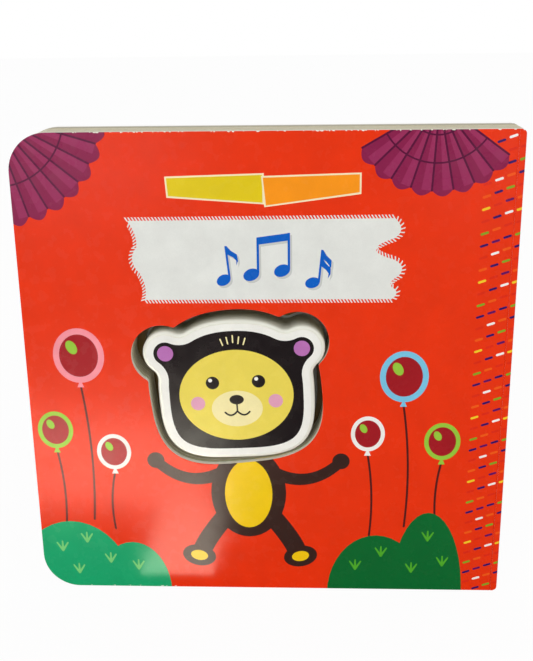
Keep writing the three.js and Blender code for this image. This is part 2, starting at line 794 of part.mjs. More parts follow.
// A flat surround, a slope and a flat dome, all of one film
function speakerDiaphragm() {
  const radius = speakerRadius - basketFoot - springRun;
  const dome = radius * 0.45;
  const slope = radius * 0.7;
  const low = speakerBack + filmRise;
  const high = speakerBack + domeRise;
  return named('speaker_diaphragm', turned([
    [0, high], [dome, high], [slope, low], [radius, low],
    [radius, low + film], [slope + film / 2, low + film], [dome + film / 2, high + film], [0, high + film],
  ], 0, speakerUp), materials.film);
}

// Circuit board with the chip under resin and one resistor

function circuitBoard() {
  const corners = Array(4).fill(boardCorner);
  const outline = rectangle(-boardHalfWidth, boardHalfWidth, boardBottom, boardTop, corners);
  const holes = boardScrews.map(({ x, y }) => rod(x, y, screwShank + seat, 0, coverFront, coarse));
  return named('circuit_board', cut(slab(outline, boardBack, boardFront), ...holes), materials.circuit);
}

function chip() {
  const profile = [[0, boardFront]];
  for (let i = 0; i < chipSteps; i++) {
    const angle = ((Math.PI / 2) * i) / chipSteps;
    profile.push([chipRadius * Math.cos(angle), boardFront + chipHeight * Math.sin(angle)]);
  }
  profile.push([0, boardFront + chipHeight]);
  return named('chip_resin', turned(profile, -boardHalfWidth / 2, plungerUp), materials.resin);
}

function resistor() {
  const outline = evenRectangle(
    resistorHalfLength, resistorHalfWidth, resistorCorner, boardHalfWidth / 2, plungerUp - resistorDrop);
  return named('resistor', slab(outline, boardFront, boardFront + resistorHeight), materials.resin);
}

const boardFixings = () => boardScrews.map(({ name, x, y }) =>
  screw(`board_screw_${name}`, x, y, boardScrewRadius, boardScrewHead, boardFront, -1, boardScrewLength));

// Wires from the speaker's lug up over the board's edge to their solder points
function speakerWires() {
  const lugFront = basketFront + lugHeight + wireRadius + seat;
  const over = boardFront + wireRadius + wireLift;
  const under = (lugFront + over) / 2;
  const bow = magnetRadius + wireBow;
  const lugUp = speakerUp - magnetRadius;
  const top = boardTop + wireClear;
  return [['red', -1], ['black', 1]].map(([colour, side]) => {
    const route = [
      [wireApart, lugFront, lugUp], [bow - lugHalfWidth, lugFront, lugUp], [bow, under, top],
      [bow, over, top], [solderAcross + wireRadius, over, boardTop],
      [solderAcross, boardFront + wireRadius + seat, boardTop - solderDrop],
    ].map(([across, depth, up]) => new THREE.Vector3(side * across, depthToY(depth), up));
    const line = new THREE.CatmullRomCurve3(route);
    const section = new THREE.Shape(circle(0, 0, wireRadius, 8));
    const geometry = new THREE.ExtrudeGeometry(section, { steps: fine, extrudePath: line });
    return named(`speaker_wire_${colour}`, solid(geometry), materials[`${colour}Wire`]);
  });
}

// The whole book

const soundModule = new THREE.Group();
soundModule.add(
  buttonCap(), faceLabel(), contactPuck(), ...capScrews(), ...returnSprings(),
  baseHousing(), batteryDoor(), doorScrew(), ...cells(), ...contacts(),
  speakerFrame(), speakerMagnet(), speakerDiaphragm(),
  circuitBoard(), chip(), resistor(), ...boardFixings(), ...speakerWires(),
);
soundModule.position.set(buttonAcross, 0, buttonUp);
soundModule.rotation.y = -radians(buttonTurn);

const soundBook = new THREE.Group();
soundBook.add(backCover(), spacer(), lastPage(), pageBlock(), spine(), frontCover(), soundModule);

export default soundBook;
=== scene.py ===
import math
import random

import bpy
from mathutils import Matrix, Vector
from mathutils.geometry import delaunay_2d_cdt


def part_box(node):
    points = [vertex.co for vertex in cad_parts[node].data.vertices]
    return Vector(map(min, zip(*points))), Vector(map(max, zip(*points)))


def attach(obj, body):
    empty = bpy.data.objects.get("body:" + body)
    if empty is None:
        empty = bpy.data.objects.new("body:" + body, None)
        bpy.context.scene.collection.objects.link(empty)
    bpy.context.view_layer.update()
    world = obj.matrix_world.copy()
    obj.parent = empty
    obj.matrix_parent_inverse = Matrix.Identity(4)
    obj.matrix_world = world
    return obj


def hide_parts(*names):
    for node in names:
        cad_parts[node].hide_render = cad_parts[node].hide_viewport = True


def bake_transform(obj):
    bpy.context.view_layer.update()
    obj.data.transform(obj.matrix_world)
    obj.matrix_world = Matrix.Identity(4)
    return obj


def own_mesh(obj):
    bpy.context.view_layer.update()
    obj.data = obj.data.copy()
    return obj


# A board book with a sound button. Lengths are in millimetres until a mesh is made.
# Flat prints are drawn in (across, up): the world's X and Z on the front of the book.

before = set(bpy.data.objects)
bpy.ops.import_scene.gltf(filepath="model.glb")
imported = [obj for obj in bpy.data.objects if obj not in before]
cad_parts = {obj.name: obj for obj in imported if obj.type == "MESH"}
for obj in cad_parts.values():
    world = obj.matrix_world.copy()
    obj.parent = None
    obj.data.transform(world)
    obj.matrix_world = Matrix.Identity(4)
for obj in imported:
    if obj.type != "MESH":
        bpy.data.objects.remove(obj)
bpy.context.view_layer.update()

MM = 0.001


def box(node):
    low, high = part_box(node)
    return low / MM, high / MM


def middle(node):
    """The middle of a node's box as (across, up)."""
    low, high = box(node)
    return (low.x + high.x) / 2, (low.z + high.z) / 2


def new_object(name, data):
    piece = bpy.data.objects.new(name, data)
    bpy.context.scene.collection.objects.link(piece)
    return piece


cover_low, cover_high = box("front_cover")
spine_low, spine_high = box("spine_wrap")
back_low, back_high = box("back_cover")
block_low, block_high = box("page_block")
last_low, last_high = box("last_page")
spacer_low, spacer_high = box("spacer_board")
label_low, label_high = box("face_label")
cap_low, cap_high = box("button_cap")

LEFT = cover_low.x
RIGHT = spine_high.x
TOP = cover_high.z
FRONT = cover_low.y
BACK = back_high.y
LEAF_RIGHT = block_high.x
CREASE = (cover_high.x + spine_low.x) / 2

FORE_CORNER = 14.0
SPINE_CORNER = 2.0
LEAF_COUNT = 6
LEAF_BOARD = 1.6
LEAF_GAP = 0.25
# No two leaves are trimmed and punched quite alike
LEAF_TRIM = 0.16
LEAF_SHIFT = 0.1
GLUE_WIDTH = 3.0
GLUE_INSET = 0.2
# The worn edge of each kind of board
COVER_BEVEL = 0.14
LEAF_BEVEL = 0.1
LAST_BEVEL = 0.08
SPACER_BEVEL = 0.05
BEVEL_SHARE = 0.7

# The window and the button share one outline, an oval head with two round ears.
# Each has a centre and a turn in degrees.
HEAD_HALF_WIDTH = 32.3
HEAD_HALF_HEIGHT = 30.6
CROWN_POWER = 2.25
JAW_POWER = 3.2
EAR_RADIUS = 11.6
EAR = (HEAD_HALF_WIDTH * 0.783, HEAD_HALF_HEIGHT * 0.51)
EAR_FILLET = 1.6
WINDOW = ((-11.9, 85.3), 6.0)
BUTTON = ((-11.4, 84.7), 2.5)
BUTTON_GAP = 3.1
BUTTON_WALL = 1.6
BUTTON_EDGE = 1.0
BUTTON_EDGE_STEPS = 8
BUTTON_TOP = 1.8
POST_RADIUS = 1.8
SHOULDER_RADIUS = 3.6
PLUNGER_RADIUS = 3.2
PUCK_SHOWS = 0.5
SCREW_HEAD = 1.1
PAGE_GAP = 1.0
LABEL_INSET = 0.3
LABEL_BORDER = 2.8
LABEL_BEVEL = 0.05
# The battery doorway in the back: half width, low, high and corner, from the button's centre
DOORWAY = (24.1, -27.4, -2.5, 5.1)
SOUND_RING_SHARE = 0.48
SOUND_HOLE = 1.2
# The spacer board's opening round the sound module, from the head's own reach
MODULE_MARGIN = 2.7
MODULE_CORNER = 12.5


# Colours

def linear(level):
    level /= 255
    return level / 12.92 if level <= 0.04045 else ((level + 0.055) / 1.055) ** 2.4


def colour(red, green, blue):
    return (linear(red), linear(green), linear(blue), 1.0)


INKS = {
    "ground": (232, 50, 2),
    "banner": (226, 228, 222),
    "banner_shade": (198, 201, 197),
    "blue": (0, 92, 192),
    "yellow_label": (226, 200, 20),
    "orange_label": (250, 150, 20),
    "cream": (246, 232, 190),
    "plum": (134, 26, 72),
    "plum_light": (150, 42, 88),
    "plum_line": (84, 6, 52),
    "brown": (52, 30, 24),
    "belly": (244, 204, 10),
    "green_left": (22, 166, 108),
    "green_right": (0, 104, 44),
    "green_tuft": (125, 210, 122),
    "green_dot": (78, 172, 40),
    "stem": (74, 22, 20),
    "rim_pink": (246, 150, 160),
    "rim_lime": (150, 200, 60),
    "rim_white": (240, 238, 232),
    "rim_sky": (120, 196, 226),
    "dark_red": (160, 20, 30),
    "dash_white": (244, 240, 234),
    "dash_navy": (40, 14, 96),
    "dash_purple": (92, 10, 92),
    "dash_green": (128, 164, 34),
    "dash_yellow": (242, 204, 40),
    "dash_red": (222, 40, 14),
    "dash_orange": (240, 92, 16),
    "face_black": (16, 6, 9),
    "face_yellow": (234, 214, 86),
    "face_cream": (244, 232, 170),
    "ear_purple": (184, 112, 180),
    "cheek": (224, 160, 186),
    "white": (240, 240, 232),
    "page_green": (120, 176, 72),
    "page_green_dark": (84, 146, 56),
    "page_yellow": (238, 204, 64),
    "page_sky": (170, 214, 226),
    "page_brown": (128, 104, 62),
    "page_brown_dark": (96, 74, 40),
    "paper": (232, 229, 218),
    "cut": (226, 222, 208),
}


# Materials

def new_material(name):
    material = bpy.data.materials.new(name)
    material.use_nodes = True
    return material, material.node_tree, material.node_tree.nodes["Principled BSDF"]


def add(tree, kind, settings=None, inputs=None):
    node = tree.nodes.new(kind)
    for key, value in (settings or {}).items():
        setattr(node, key, value)
    for key, value in (inputs or {}).items():
        node.inputs[key].default_value = value
    return node


def place(tree, stretch=(1, 1, 1)):
    """Object coordinates, stretched along each axis."""
    where = add(tree, "ShaderNodeTexCoord")
    mapping = add(tree, "ShaderNodeMapping", inputs={"Scale": stretch})
    tree.links.new(where.outputs["Object"], mapping.inputs["Vector"])
    return mapping.outputs["Vector"]


def noise(tree, vector, scale, detail=3.0, roughness=0.5):
    node = add(tree, "ShaderNodeTexNoise", inputs={
        "Scale": scale, "Detail": detail, "Roughness": roughness})
    tree.links.new(vector, node.inputs["Vector"])
    return node.outputs["Fac"]


def ramp(tree, value, low, high, start=0.3, end=0.7):
    node = add(tree, "ShaderNodeMapRange", inputs={
        "From Min": start, "From Max": end, "To Min": low, "To Max": high})
    tree.links.new(value, node.inputs["Value"])
    return node.outputs["Result"]


def mix(tree, factor, under, over):
    """Blends two colours. The one under may come from a socket."""
    node = add(tree, "ShaderNodeMix", settings={"data_type": "RGBA"})
    if isinstance(under, tuple):
        node.inputs["A"].default_value = under
    else:
        tree.links.new(under, node.inputs["A"])
    node.inputs["B"].default_value = over
    tree.links.new(factor, node.inputs["Factor"])
    return node.outputs["Result"]


def bump(tree, height, distance, strength=1.0, under=None):
    node = add(tree, "ShaderNodeBump", inputs={"Distance": distance, "Strength": strength})
    tree.links.new(height, node.inputs["Height"])
    if under:
        tree.links.new(under, node.inputs["Normal"])
    return node.outputs["Normal"]


def shade(rgba, factor):
    return tuple(min(1.0, part * factor) for part in rgba[:3]) + (1.0,)


# Noise scales of the printed film, per metre, from slow to fine
RIPPLE = 22.0
MOTTLE = 90.0
SMEAR = 240.0
PEEL = 1500.0
GRAIN = 2600.0
# And of board, plastic and metal
FIBRE = 1800.0
FLOW = 60.0
SCRATCH = 700.0


def laminate(name, rgb, gloss=0.24):
    """Offset ink under a clear gloss film: a little mottle, fine orange peel and a slow ripple."""
    material, tree, shader = new_material(name)
    base = colour(*rgb)
    spot = place(tree)
    mottle = ramp(tree, noise(tree, spot, MOTTLE, 4.0, 0.6), 0.0, 1.0)
    tone = mix(tree, mottle, shade(base, 0.95), shade(base, 1.04))
    grain = ramp(tree, noise(tree, spot, GRAIN, 2.0), 0.0, 0.16, 0.45, 0.75)
    tree.links.new(mix(tree, grain, tone, shade(base, 0.82)), shader.inputs["Base Color"])
    rough = ramp(tree, noise(tree, spot, SMEAR, 3.0), gloss - 0.04, gloss + 0.07)
    tree.links.new(rough, shader.inputs["Roughness"])
    slow = bump(tree, noise(tree, spot, RIPPLE, 1.0), 0.0006, 0.35)
    peel = bump(tree, noise(tree, spot, PEEL, 2.0), 0.000006, 0.5, slow)
    tree.links.new(peel, shader.inputs["Normal"])
    shader.inputs["Specular IOR Level"].default_value = 0.12
    return material


def cut_board(name, rgb, dark, stretch, scale=500.0):
    """The raw edge of board: pressed fibres in thin plies, a little furry."""
    material, tree, shader = new_material(name)
    spot = place(tree, stretch)
    plies = noise(tree, spot, scale, 4.0, 0.65)
    fibre = noise(tree, place(tree), FIBRE, 3.0, 0.7)
    tone = mix(tree, ramp(tree, plies, 0.0, 1.0), colour(*dark), colour(*rgb))
    tone = mix(tree, ramp(tree, fibre, 0.0, 0.35, 0.5, 0.8), tone, shade(colour(*dark), 0.8))
    tree.links.new(tone, shader.inputs["Base Color"])
    rough = bump(tree, plies, 0.00005, 0.6)
    tree.links.new(bump(tree, fibre, 0.00004, 0.5, rough), shader.inputs["Normal"])
    shader.inputs["Roughness"].default_value = 0.85
    return material


def moulded(name, rgb, roughness, grain_scale, grain_depth):
    """Injection moulded plastic with a fine spark texture and faint flow marks."""
    material, tree, shader = new_material(name)
    base = colour(*rgb)
    spot = place(tree)
    flow = noise(tree, place(tree, (1, 3, 1)), FLOW, 3.0)
    tone = mix(tree, ramp(tree, flow, 0.0, 1.0), shade(base, 0.96), shade(base, 1.02))
    tree.links.new(tone, shader.inputs["Base Color"])
    rough = ramp(tree, noise(tree, spot, 400.0, 3.0), roughness - 0.05, roughness + 0.06)
    tree.links.new(rough, shader.inputs["Roughness"])
    grain = bump(tree, noise(tree, spot, grain_scale, 2.0), grain_depth, 0.6)
    tree.links.new(grain, shader.inputs["Normal"])
    return material


def metal(name, rgb, roughness):
    """Plated or drawn metal with fine scratches."""
    material, tree, shader = new_material(name)
    base = colour(*rgb)
    scratches = noise(tree, place(tree, (1, 1, 14)), SCRATCH, 4.0, 0.6)
    tone = mix(tree, ramp(tree, scratches, 0.0, 1.0), shade(base, 0.86), base)
    tree.links.new(tone, shader.inputs["Base Color"])
    tree.links.new(ramp(tree, scratches, roughness - 0.06, roughness + 0.1), shader.inputs["Roughness"])
    tree.links.new(bump(tree, scratches, 0.00002, 0.4), shader.inputs["Normal"])
    shader.inputs["Metallic"].default_value = 1.0
    return material


ink_materials = {name: laminate(f"ink_{name}", rgb) for name, rgb in INKS.items()}
ink_materials["cut"] = cut_board("cut_edge", (250, 247, 236), (226, 220, 202), (1, 4, 1))
ink_materials["paper"] = laminate("page_paper", INKS["paper"], 0.42)
ink_materials["leaf_edge"] = cut_board("leaf_edge", (226, 218, 188), (186, 176, 140), (1, 6, 1))
ink_materials["grey_edge"] = cut_board("grey_edge", (198, 196, 184), (150, 146, 132), (1, 6, 1))
ink_materials["button"] = moulded("button_plastic", (228, 229, 216), 0.34, 2200.0, 0.000004)

steel_material = metal("plated_steel", (196, 200, 204), 0.3)

# Finishes of the nodes that stay as they are, by how their names start
resin = moulded("black_resin", (14, 14, 14), 0.35, 500.0, 0.00002)
housing = moulded("housing_plastic", (220, 218, 208), 0.5, 3000.0, 0.00001)
FINISHES = {
    "base_housing": housing,
    "battery_door": housing,
    "contact_puck": moulded("black_rubber", (30, 30, 30), 0.8, 2500.0, 0.00001),
    "circuit_board": moulded("circuit_green", (24, 104, 56), 0.4, 900.0, 0.00002),
    "chip_resin": resin,
    "resistor": resin,
    "speaker_diaphragm": moulded("speaker_film", (58, 62, 66), 0.4, 800.0, 0.00001),
    "speaker_wire_red": moulded("wire_red", (176, 22, 22), 0.45, 1200.0, 0.00001),
    "speaker_wire_black": moulded("wire_black", (20, 20, 20), 0.45, 1200.0, 0.00001),
    "speaker_frame": steel_material,
    "speaker_magnet": steel_material,
    "button_cell": steel_material,
    "contact_inner": steel_material,
    "contact_door": steel_material,
    "cap_screw": steel_material,
    "board_screw": steel_material,
    "door_screw": steel_material,
}


# Outlines, each a list of (across, up) points that runs anticlockwise

def polar(centre, radius, degrees):
    angle = math.radians(degrees)
    return (centre[0] + radius * math.cos(angle), centre[1] + radius * math.sin(angle))


def direction(a, b):
    """The angle of the line from a to b, in degrees."""
    return math.degrees(math.atan2(b[1] - a[1], b[0] - a[0]))


def arc(centre, radius, start, end, step=4.0):
    """Points along an arc between two angles in degrees, without the last."""
    count = max(1, round(abs(end - start) / step))
    return [polar(centre, radius, start + (end - start) * i / count) for i in range(count)]


def rectangle(left, right, low, high, radii=(0, 0, 0, 0), step=5.0):
    """Corner radii run from lower left round to upper left."""
    corners = [(left, low, 1, 1), (right, low, -1, 1), (right, high, -1, -1), (left, high, 1, -1)]
    points = []
    for i, (x, y, inward_x, inward_y) in enumerate(corners):
        radius = radii[i]
        centre = (x + inward_x * radius, y + inward_y * radius)
        start = 180 + 90 * i
        if radius > 0:
            points += arc(centre, radius, start, start + 90, step)
        points.append(polar(centre, radius, start + 90))
    return points


def ellipse(x, y, half_across, half_up, turn=0.0, count=40):
    points = []
    for i in range(count):
        angle = 2 * math.pi * i / count
        points.append((half_across * math.cos(angle), half_up * math.sin(angle)))
    return moved(points, turn, (x, y))


def circle(x, y, radius, count=36):
    return ellipse(x, y, radius, radius, 0.0, count)


def moved(points, turn, shift=(0.0, 0.0)):
    c, s = math.cos(math.radians(turn)), math.sin(math.radians(turn))
    return [(shift[0] + x * c - y * s, shift[1] + x * s + y * c) for x, y in points]


def stroke(points, width, taper=1.0):
    """A line of even or tapering width with round ends."""
    left_side, right_side = [], []
    count = len(points)
    for i, (x, y) in enumerate(points):
        before = points[max(0, i - 1)]
        after = points[min(count - 1, i + 1)]
        dx, dy = after[0] - before[0], after[1] - before[1]
        length = math.hypot(dx, dy)
        half = width / 2 * (1 + (taper - 1) * i / max(1, count - 1))
        nx, ny = -dy / length * half, dx / length * half
        left_side.append((x + nx, y + ny))
        right_side.append((x - nx, y - ny))
    first = direction(points[0], left_side[0])
    last = direction(points[-1], right_side[-1])
    start_cap = arc(points[0], width / 2, first, first + 180, 30)[1:]
    end_cap = arc(points[-1], width / 2 * taper, last, last + 180, 30)[1:]
    return right_side + end_cap + left_side[::-1] + start_cap


def curve(start, control, end, count=14):
    """Points on a bent line."""
    points = []
    for i in range(count + 1):
        t = i / count
        points.append(tuple(
            (1 - t) ** 2 * start[k] + 2 * t * (1 - t) * control[k] + t * t * end[k] for k in (0, 1)))
    return points


def signed_power(value, power):
    return math.copysign(abs(value) ** power, value)


def oval_point(t, grow):
    """A point beside the head's oval, moved out by grow along its normal. The oval is a
    superellipse with a round crown and a squarer jaw."""
    power = JAW_POWER if math.sin(t) < 0 else CROWN_POWER
    across, up = signed_power(math.cos(t), 2 / power), signed_power(math.sin(t), 2 / power)
    lean_across = signed_power(across, power - 1) / HEAD_HALF_WIDTH
    lean_up = signed_power(up, power - 1) / HEAD_HALF_HEIGHT
    reach = grow / math.hypot(lean_across, lean_up)
    return (HEAD_HALF_WIDTH * across + lean_across * reach, HEAD_HALF_HEIGHT * up + lean_up * reach)


def oval_run(start, end, grow):
    count = max(1, round((end - start) / math.radians(3)))
    return [oval_point(start + (end - start) * i / count, grow) for i in range(count)]


def outward(t):
    return direction(oval_point(t, 0), oval_point(t, 1))


def fillet_touch(far):
    """Where the fillet between the oval and the ear touches the oval."""
    near = math.atan2(EAR[1] / HEAD_HALF_HEIGHT, EAR[0] / HEAD_HALF_WIDTH)
    for _ in range(40):
        guess = (near + far) / 2
        if math.dist(oval_point(guess, EAR_FILLET), EAR) < EAR_RADIUS + EAR_FILLET:
            near = guess
        else:
            far = guess
    return far


LOW_TOUCH = fillet_touch(-math.pi / 2)
HIGH_TOUCH = fillet_touch(math.pi / 2)


def head(grow, place=None):
    """The head outline moved out by grow, put on the book if it has a place."""
    low, high = oval_point(LOW_TOUCH, EAR_FILLET), oval_point(HIGH_TOUCH, EAR_FILLET)
    right = oval_run(-math.pi / 2, LOW_TOUCH, grow)
    right += arc(low, EAR_FILLET - grow, outward(LOW_TOUCH) + 180, direction(low, EAR), 8.0)
    right += arc(EAR, EAR_RADIUS + grow, direction(EAR, low), direction(EAR, high), 5.0)
    right += arc(high, EAR_FILLET - grow, direction(high, EAR), outward(HIGH_TOUCH) - 180, 8.0)
    right += oval_run(HIGH_TOUCH, math.pi / 2, grow) + [oval_point(math.pi / 2, grow)]
    points = right + [(-x, y) for x, y in right[1:-1]][::-1]
    return moved(points, place[1], place[0]) if place else points


def on_button(points):
    return moved(points, BUTTON[1], BUTTON[0])


def board_outline(left, right, grow=0.0):
    corner = FORE_CORNER + grow
    return rectangle(left - grow, right + grow, -grow, TOP + grow, (corner, 0, 0, corner))


# Meshes

def ccw(points):
    area = sum(a[0] * b[1] - b[0] * a[1] for a, b in zip(points, points[1:] + points[:1]))
    return points if area > 0 else points[::-1]


def partition(outline, holes, motifs, ground, cuts=()):
    """Triangles of a flat sheet, each with the ink of the topmost motif that covers it."""
    rings = [outline] + list(holes) + [points for points, _ in motifs]
    points, faces = [], []
    for ring in rings:
        start = len(points)
        points += [Vector(p) for p in ccw(ring)]
        faces.append(list(range(start, len(points))))
    edges = []
    for a, b in cuts:
        edges.append((len(points), len(points) + 1))
        points += [Vector(a), Vector(b)]
    corners, _, triangles, _, _, origins = delaunay_2d_cdt(points, edges, faces, 1, 1e-5)
    hole_ids = set(range(1, len(holes) + 1))
    kept, inks = [], []
    for triangle, over in zip(triangles, origins):
        if 0 not in over or hole_ids & set(over):
            continue
        top = max(over)
        kept.append(tuple(triangle))
        inks.append(motifs[top - 1 - len(holes)][1] if top else ground)
    return corners, kept, inks


class Builder:
    """Collects faces with inks, then makes one mesh object."""

    def __init__(self):
        self.vertices, self.faces, self.inks, self.smooth = [], [], [], []

    def point(self, x, y, z):
        self.vertices.append((x * MM, y * MM, z * MM))
        return len(self.vertices) - 1

    def face(self, corners, ink, smooth=False):
        self.faces.append(tuple(corners))
        self.inks.append(ink)
        self.smooth.append(smooth)

    def sheet(self, sheet, put, flip=False):
        """Adds a partition. put turns (across, up) into a place. Returns its border."""
        corners, triangles, inks = sheet
        used = {}
        for triangle in triangles:
            for corner in triangle:
                if corner not in used:
                    used[corner] = self.point(*put(corners[corner]))
        owner = {}
        for triangle, ink in zip(triangles, inks):
            ids = [used[c] for c in triangle]
            self.face(ids[::-1] if flip else ids, ink)
            for a, b in zip(triangle, triangle[1:] + triangle[:1]):
                owner[(a, b)] = ink
        border = {a: (b, ink) for (a, b), ink in owner.items() if (b, a) not in owner}
        return corners, used, border

    def rim(self, edge, rings, put, flip=False):
        """Walls from a sheet's border. rings are (outward, depth, ink or None for the print's own)."""
        corners, used, border = edge
        before = {b: a for a, (b, _) in border.items()}
        normals = {}
        for a, (b, _) in border.items():
            p, q, r = corners[before[a]], corners[a], corners[b]
            first = Vector((q.y - p.y, p.x - q.x)).normalized()
            second = Vector((r.y - q.y, q.x - r.x)).normalized()
            both = first + second
            normals[a] = both / max(0.3, both.dot(first)) if both.length > 1e-6 else first
        last = {a: used[a] for a in border}
        for outward, depth, ink in rings:
            ring = {}
            for a in border:
                ring[a] = self.point(*put(corners[a] + normals[a] * outward, depth))
            for a, (b, own) in border.items():
                quad = [last[b], last[a], ring[a], ring[b]]
                self.face(quad[::-1] if flip else quad, ink or own, ink is None)
            last = ring
        return last

    def band(self, low, high, ink, smooth=True, flip=False):
        """Faces between two rings of as many points."""
        for quad in zip(low, low[1:] + low[:1], high[1:] + high[:1], high):
            self.face(quad[::-1] if flip else quad, ink, smooth)

    def make(self, name, body, replaces=()):
        mesh = bpy.data.meshes.new(name)
        mesh.from_pydata(self.vertices, [], self.faces)
        order = sorted(set(self.inks))
        for ink in order:
            mesh.materials.append(ink_materials[ink])
        mesh.polygons.foreach_set("material_index", [order.index(ink) for ink in self.inks])
        mesh.polygons.foreach_set("use_smooth", self.smooth)
        mesh.update()
        piece = new_object(name, mesh)
        if body:
            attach(piece, body)
        if replaces:
            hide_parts(*replaces)
        return piece


def front_place(y):
    return lambda p, depth=0.0: (p[0], y + depth, p[1])


def board(builder, outline, holes, near, far, front_print, back_print, edge="cut", bevel=COVER_BEVEL):
    """A board between two depths, printed on both sides. outline and holes take a grow value."""
    core = (near + far) / 2
    for y, (motifs, ground), flip in ((near, front_print, False), (far, back_print, True)):
        sheet = partition(outline(-bevel), [hole(bevel) for hole in holes], motifs, ground)
        towards = -1 if flip else 1
        put = front_place(y)
        border = builder.sheet(sheet, put, flip)
        builder.rim(border, [
            (bevel * BEVEL_SHARE, towards * bevel * (1 - BEVEL_SHARE), None),
            (bevel, towards * bevel, None if edge == "cut" else edge),
            (bevel, core - y, edge),
        ], put, flip)


# Motifs for the prints, each (outline, ink). Their places are in millimetres from the left
# edge of the cover and from its top, or from its foot where they stand on it.

DASH_FIRST = 167.5
FAN_HUB = 2.0
FAN_SCALLOP = 0.07
FAN_RINGS = (0.36, 0.68)

# Across, down, radius, ink of the rim, foot of the string, bend of the string
BALLOONS = (
    (20, 82, 9.6, "rim_pink", 30, 4),
    (9, 112, 6.8, "rim_lime", 26, 3),
    (31, 121, 6.6, "rim_white", 26, -3),
    (141, 90, 9.0, "rim_sky", 28, 4),
    (128, 113, 6.4, "rim_white", 24, 3),
    (156, 116, 6.8, "rim_lime", 28, -3),
)

BALLOON_TALL = 1.12
BALLOON_INNER = (0.76, 0.87)
BALLOON_STRING = 0.8

# The banner's torn ends. Each starts at a point, and each bend has its number of points, a
# control point and an end, as (inwards from the end, share of the height).
TORN_RIGHT = ((4.5, 0.01), (
    (4, (2.0, 0.067), (3.2, 0.13)),
    (6, (7.5, 0.2), (2.2, 0.3)),
    (6, (-0.8, 0.42), (4.0, 0.5)),
    (10, (17.0, 0.62), (4.0, 0.76)),
    (6, (-0.5, 0.86), (4.0, 1.0)),
))
TORN_LEFT = ((0.5, 0.98), (
    (8, (4.0, 0.82), (3.4, 0.66)),
    (8, (-0.5, 0.5), (4.0, 0.34)),
    (8, (7.0, 0.16), (5.5, 0.0)),
))
TOOTH_PITCH = 1.2
TOOTH_HALF = 0.27
TOOTH_REACH = 1.3
TOOTH_LEAN = 0.9
TOOTH_ROOT = 0.2

# Music notes, drawn from the middle of a note's head
NOTE_HEAD = (2.0, 1.45)
NOTE_TURN = 24
NOTE_STEM = (1.35, 1.95)
NOTE_FOOT = 0.4
NOTE_TOP = 9.2
NOTE_FLAG = ((1.9, 9.2), (2.9, 7.8), (4.4, 6.6), (4.5, 4.9), (3.9, 3.6), (4.0, 5.0), (3.2, 6.0), (1.9, 6.8))
NOTE_FLAG_DROP = 2.1
PAIR_ACROSS = 7.4
PAIR_RISE = 1.0
PAIR_TOP = 9.0
PAIR_BEAM = ((1.35, 7.3), (9.35, 8.4), (9.35, 10.2), (1.35, 9.1))

# Dashes: an order of inks and the first dash's drop for each of three columns that repeat
DASH_ORDERS = (
    ("dash_green", "dash_navy", "dash_red", "dash_orange", "dash_yellow", "dash_red"),
    ("dash_navy", "dash_orange", "dash_purple", "dash_white", "dash_navy", "dash_red"),
    ("dash_white", "dash_red", "dash_navy", "dash_orange", "dash_green", "dash_purple"),
)
DASH_DROPS = (5.6, 4.0, 2.4)
DASH_PITCH = 4.37
DASH_APART = 4.0
DASH_HALF = 1.1
DASH_WIDTH = 0.86
DASH_TURN = 19

# The two bare labels, with corners across and down
LABELS = (
    ("yellow_label", ((55.5, 23), (90, 25.5), (90, 14.5), (55, 15.5))),
    ("orange_label", ((90, 26.5), (124, 22), (124, 14.5), (89, 15.5))),
)
LABEL_EDGE = 0.6
CHIP_WIDTH = (0.3, 1.5)
CHIP_REACH = (0.4, 1.0)

# The bear's body from the middle of its top, one side of it, and its face from the button's middle
ARM = ((11, -8), (24, -14), (35, -3))
LEG = ((9, -26), (17, -36), (19, -42))
HAND = (35.5, -2.4)
FOOT = (20, -43.5)
ARM_WIDTH = 5.2
LEG_WIDTH = 7.5
HAND_RADIUS = 3.3
FOOT_SIZE = (6.6, 4.6)
SOLE_SIZE = (3.4, 2.2)
FOOT_TURN = 12
# Down, half width, half height and ink
TRUNK = ((16, 14.5, 19, "brown"), (16.5, 9.2, 14.5, "belly"))
# Across, up, half width, half height, points and ink
FACE = (
    (-EAR[0], EAR[1], 3.0, 3.0, 36, "ear_purple"),
    (EAR[0], EAR[1], 3.0, 3.0, 36, "ear_purple"),
    (0, -1.9, 21.4, 18.0, 72, "face_yellow"),
    (0, -7.2, 9.6, 7.2, 48, "face_cream"),
    (-8.6, 3.4, 2.5, 2.5, 36, "face_black"),
    (8.6, 3.4, 2.5, 2.5, 36, "face_black"),
    (-9.4, 4.4, 0.75, 0.75, 20, "white"),
    (7.8, 4.4, 0.75, 0.75, 20, "white"),
    (-14.6, -4.6, 2.7, 2.7, 36, "cheek"),
    (14.6, -4.6, 2.7, 2.7, 36, "cheek"),
    (0, -3.6, 2.7, 1.9, 32, "face_black"),
)
NOSE_LINE = (-0.3, 0.3, -8.4, -4.0)
SMILE = ((0, -8.2), (2.4, -11.2), (4.6, -8.6))

DOT_COLUMNS = 9
DOT_INSET = 12
DOT_PITCH = 19
DOT_STAGGER = 9


def at(across, down):
    """A place given from the cover's top left corner."""
    return (LEFT + across, TOP - down)


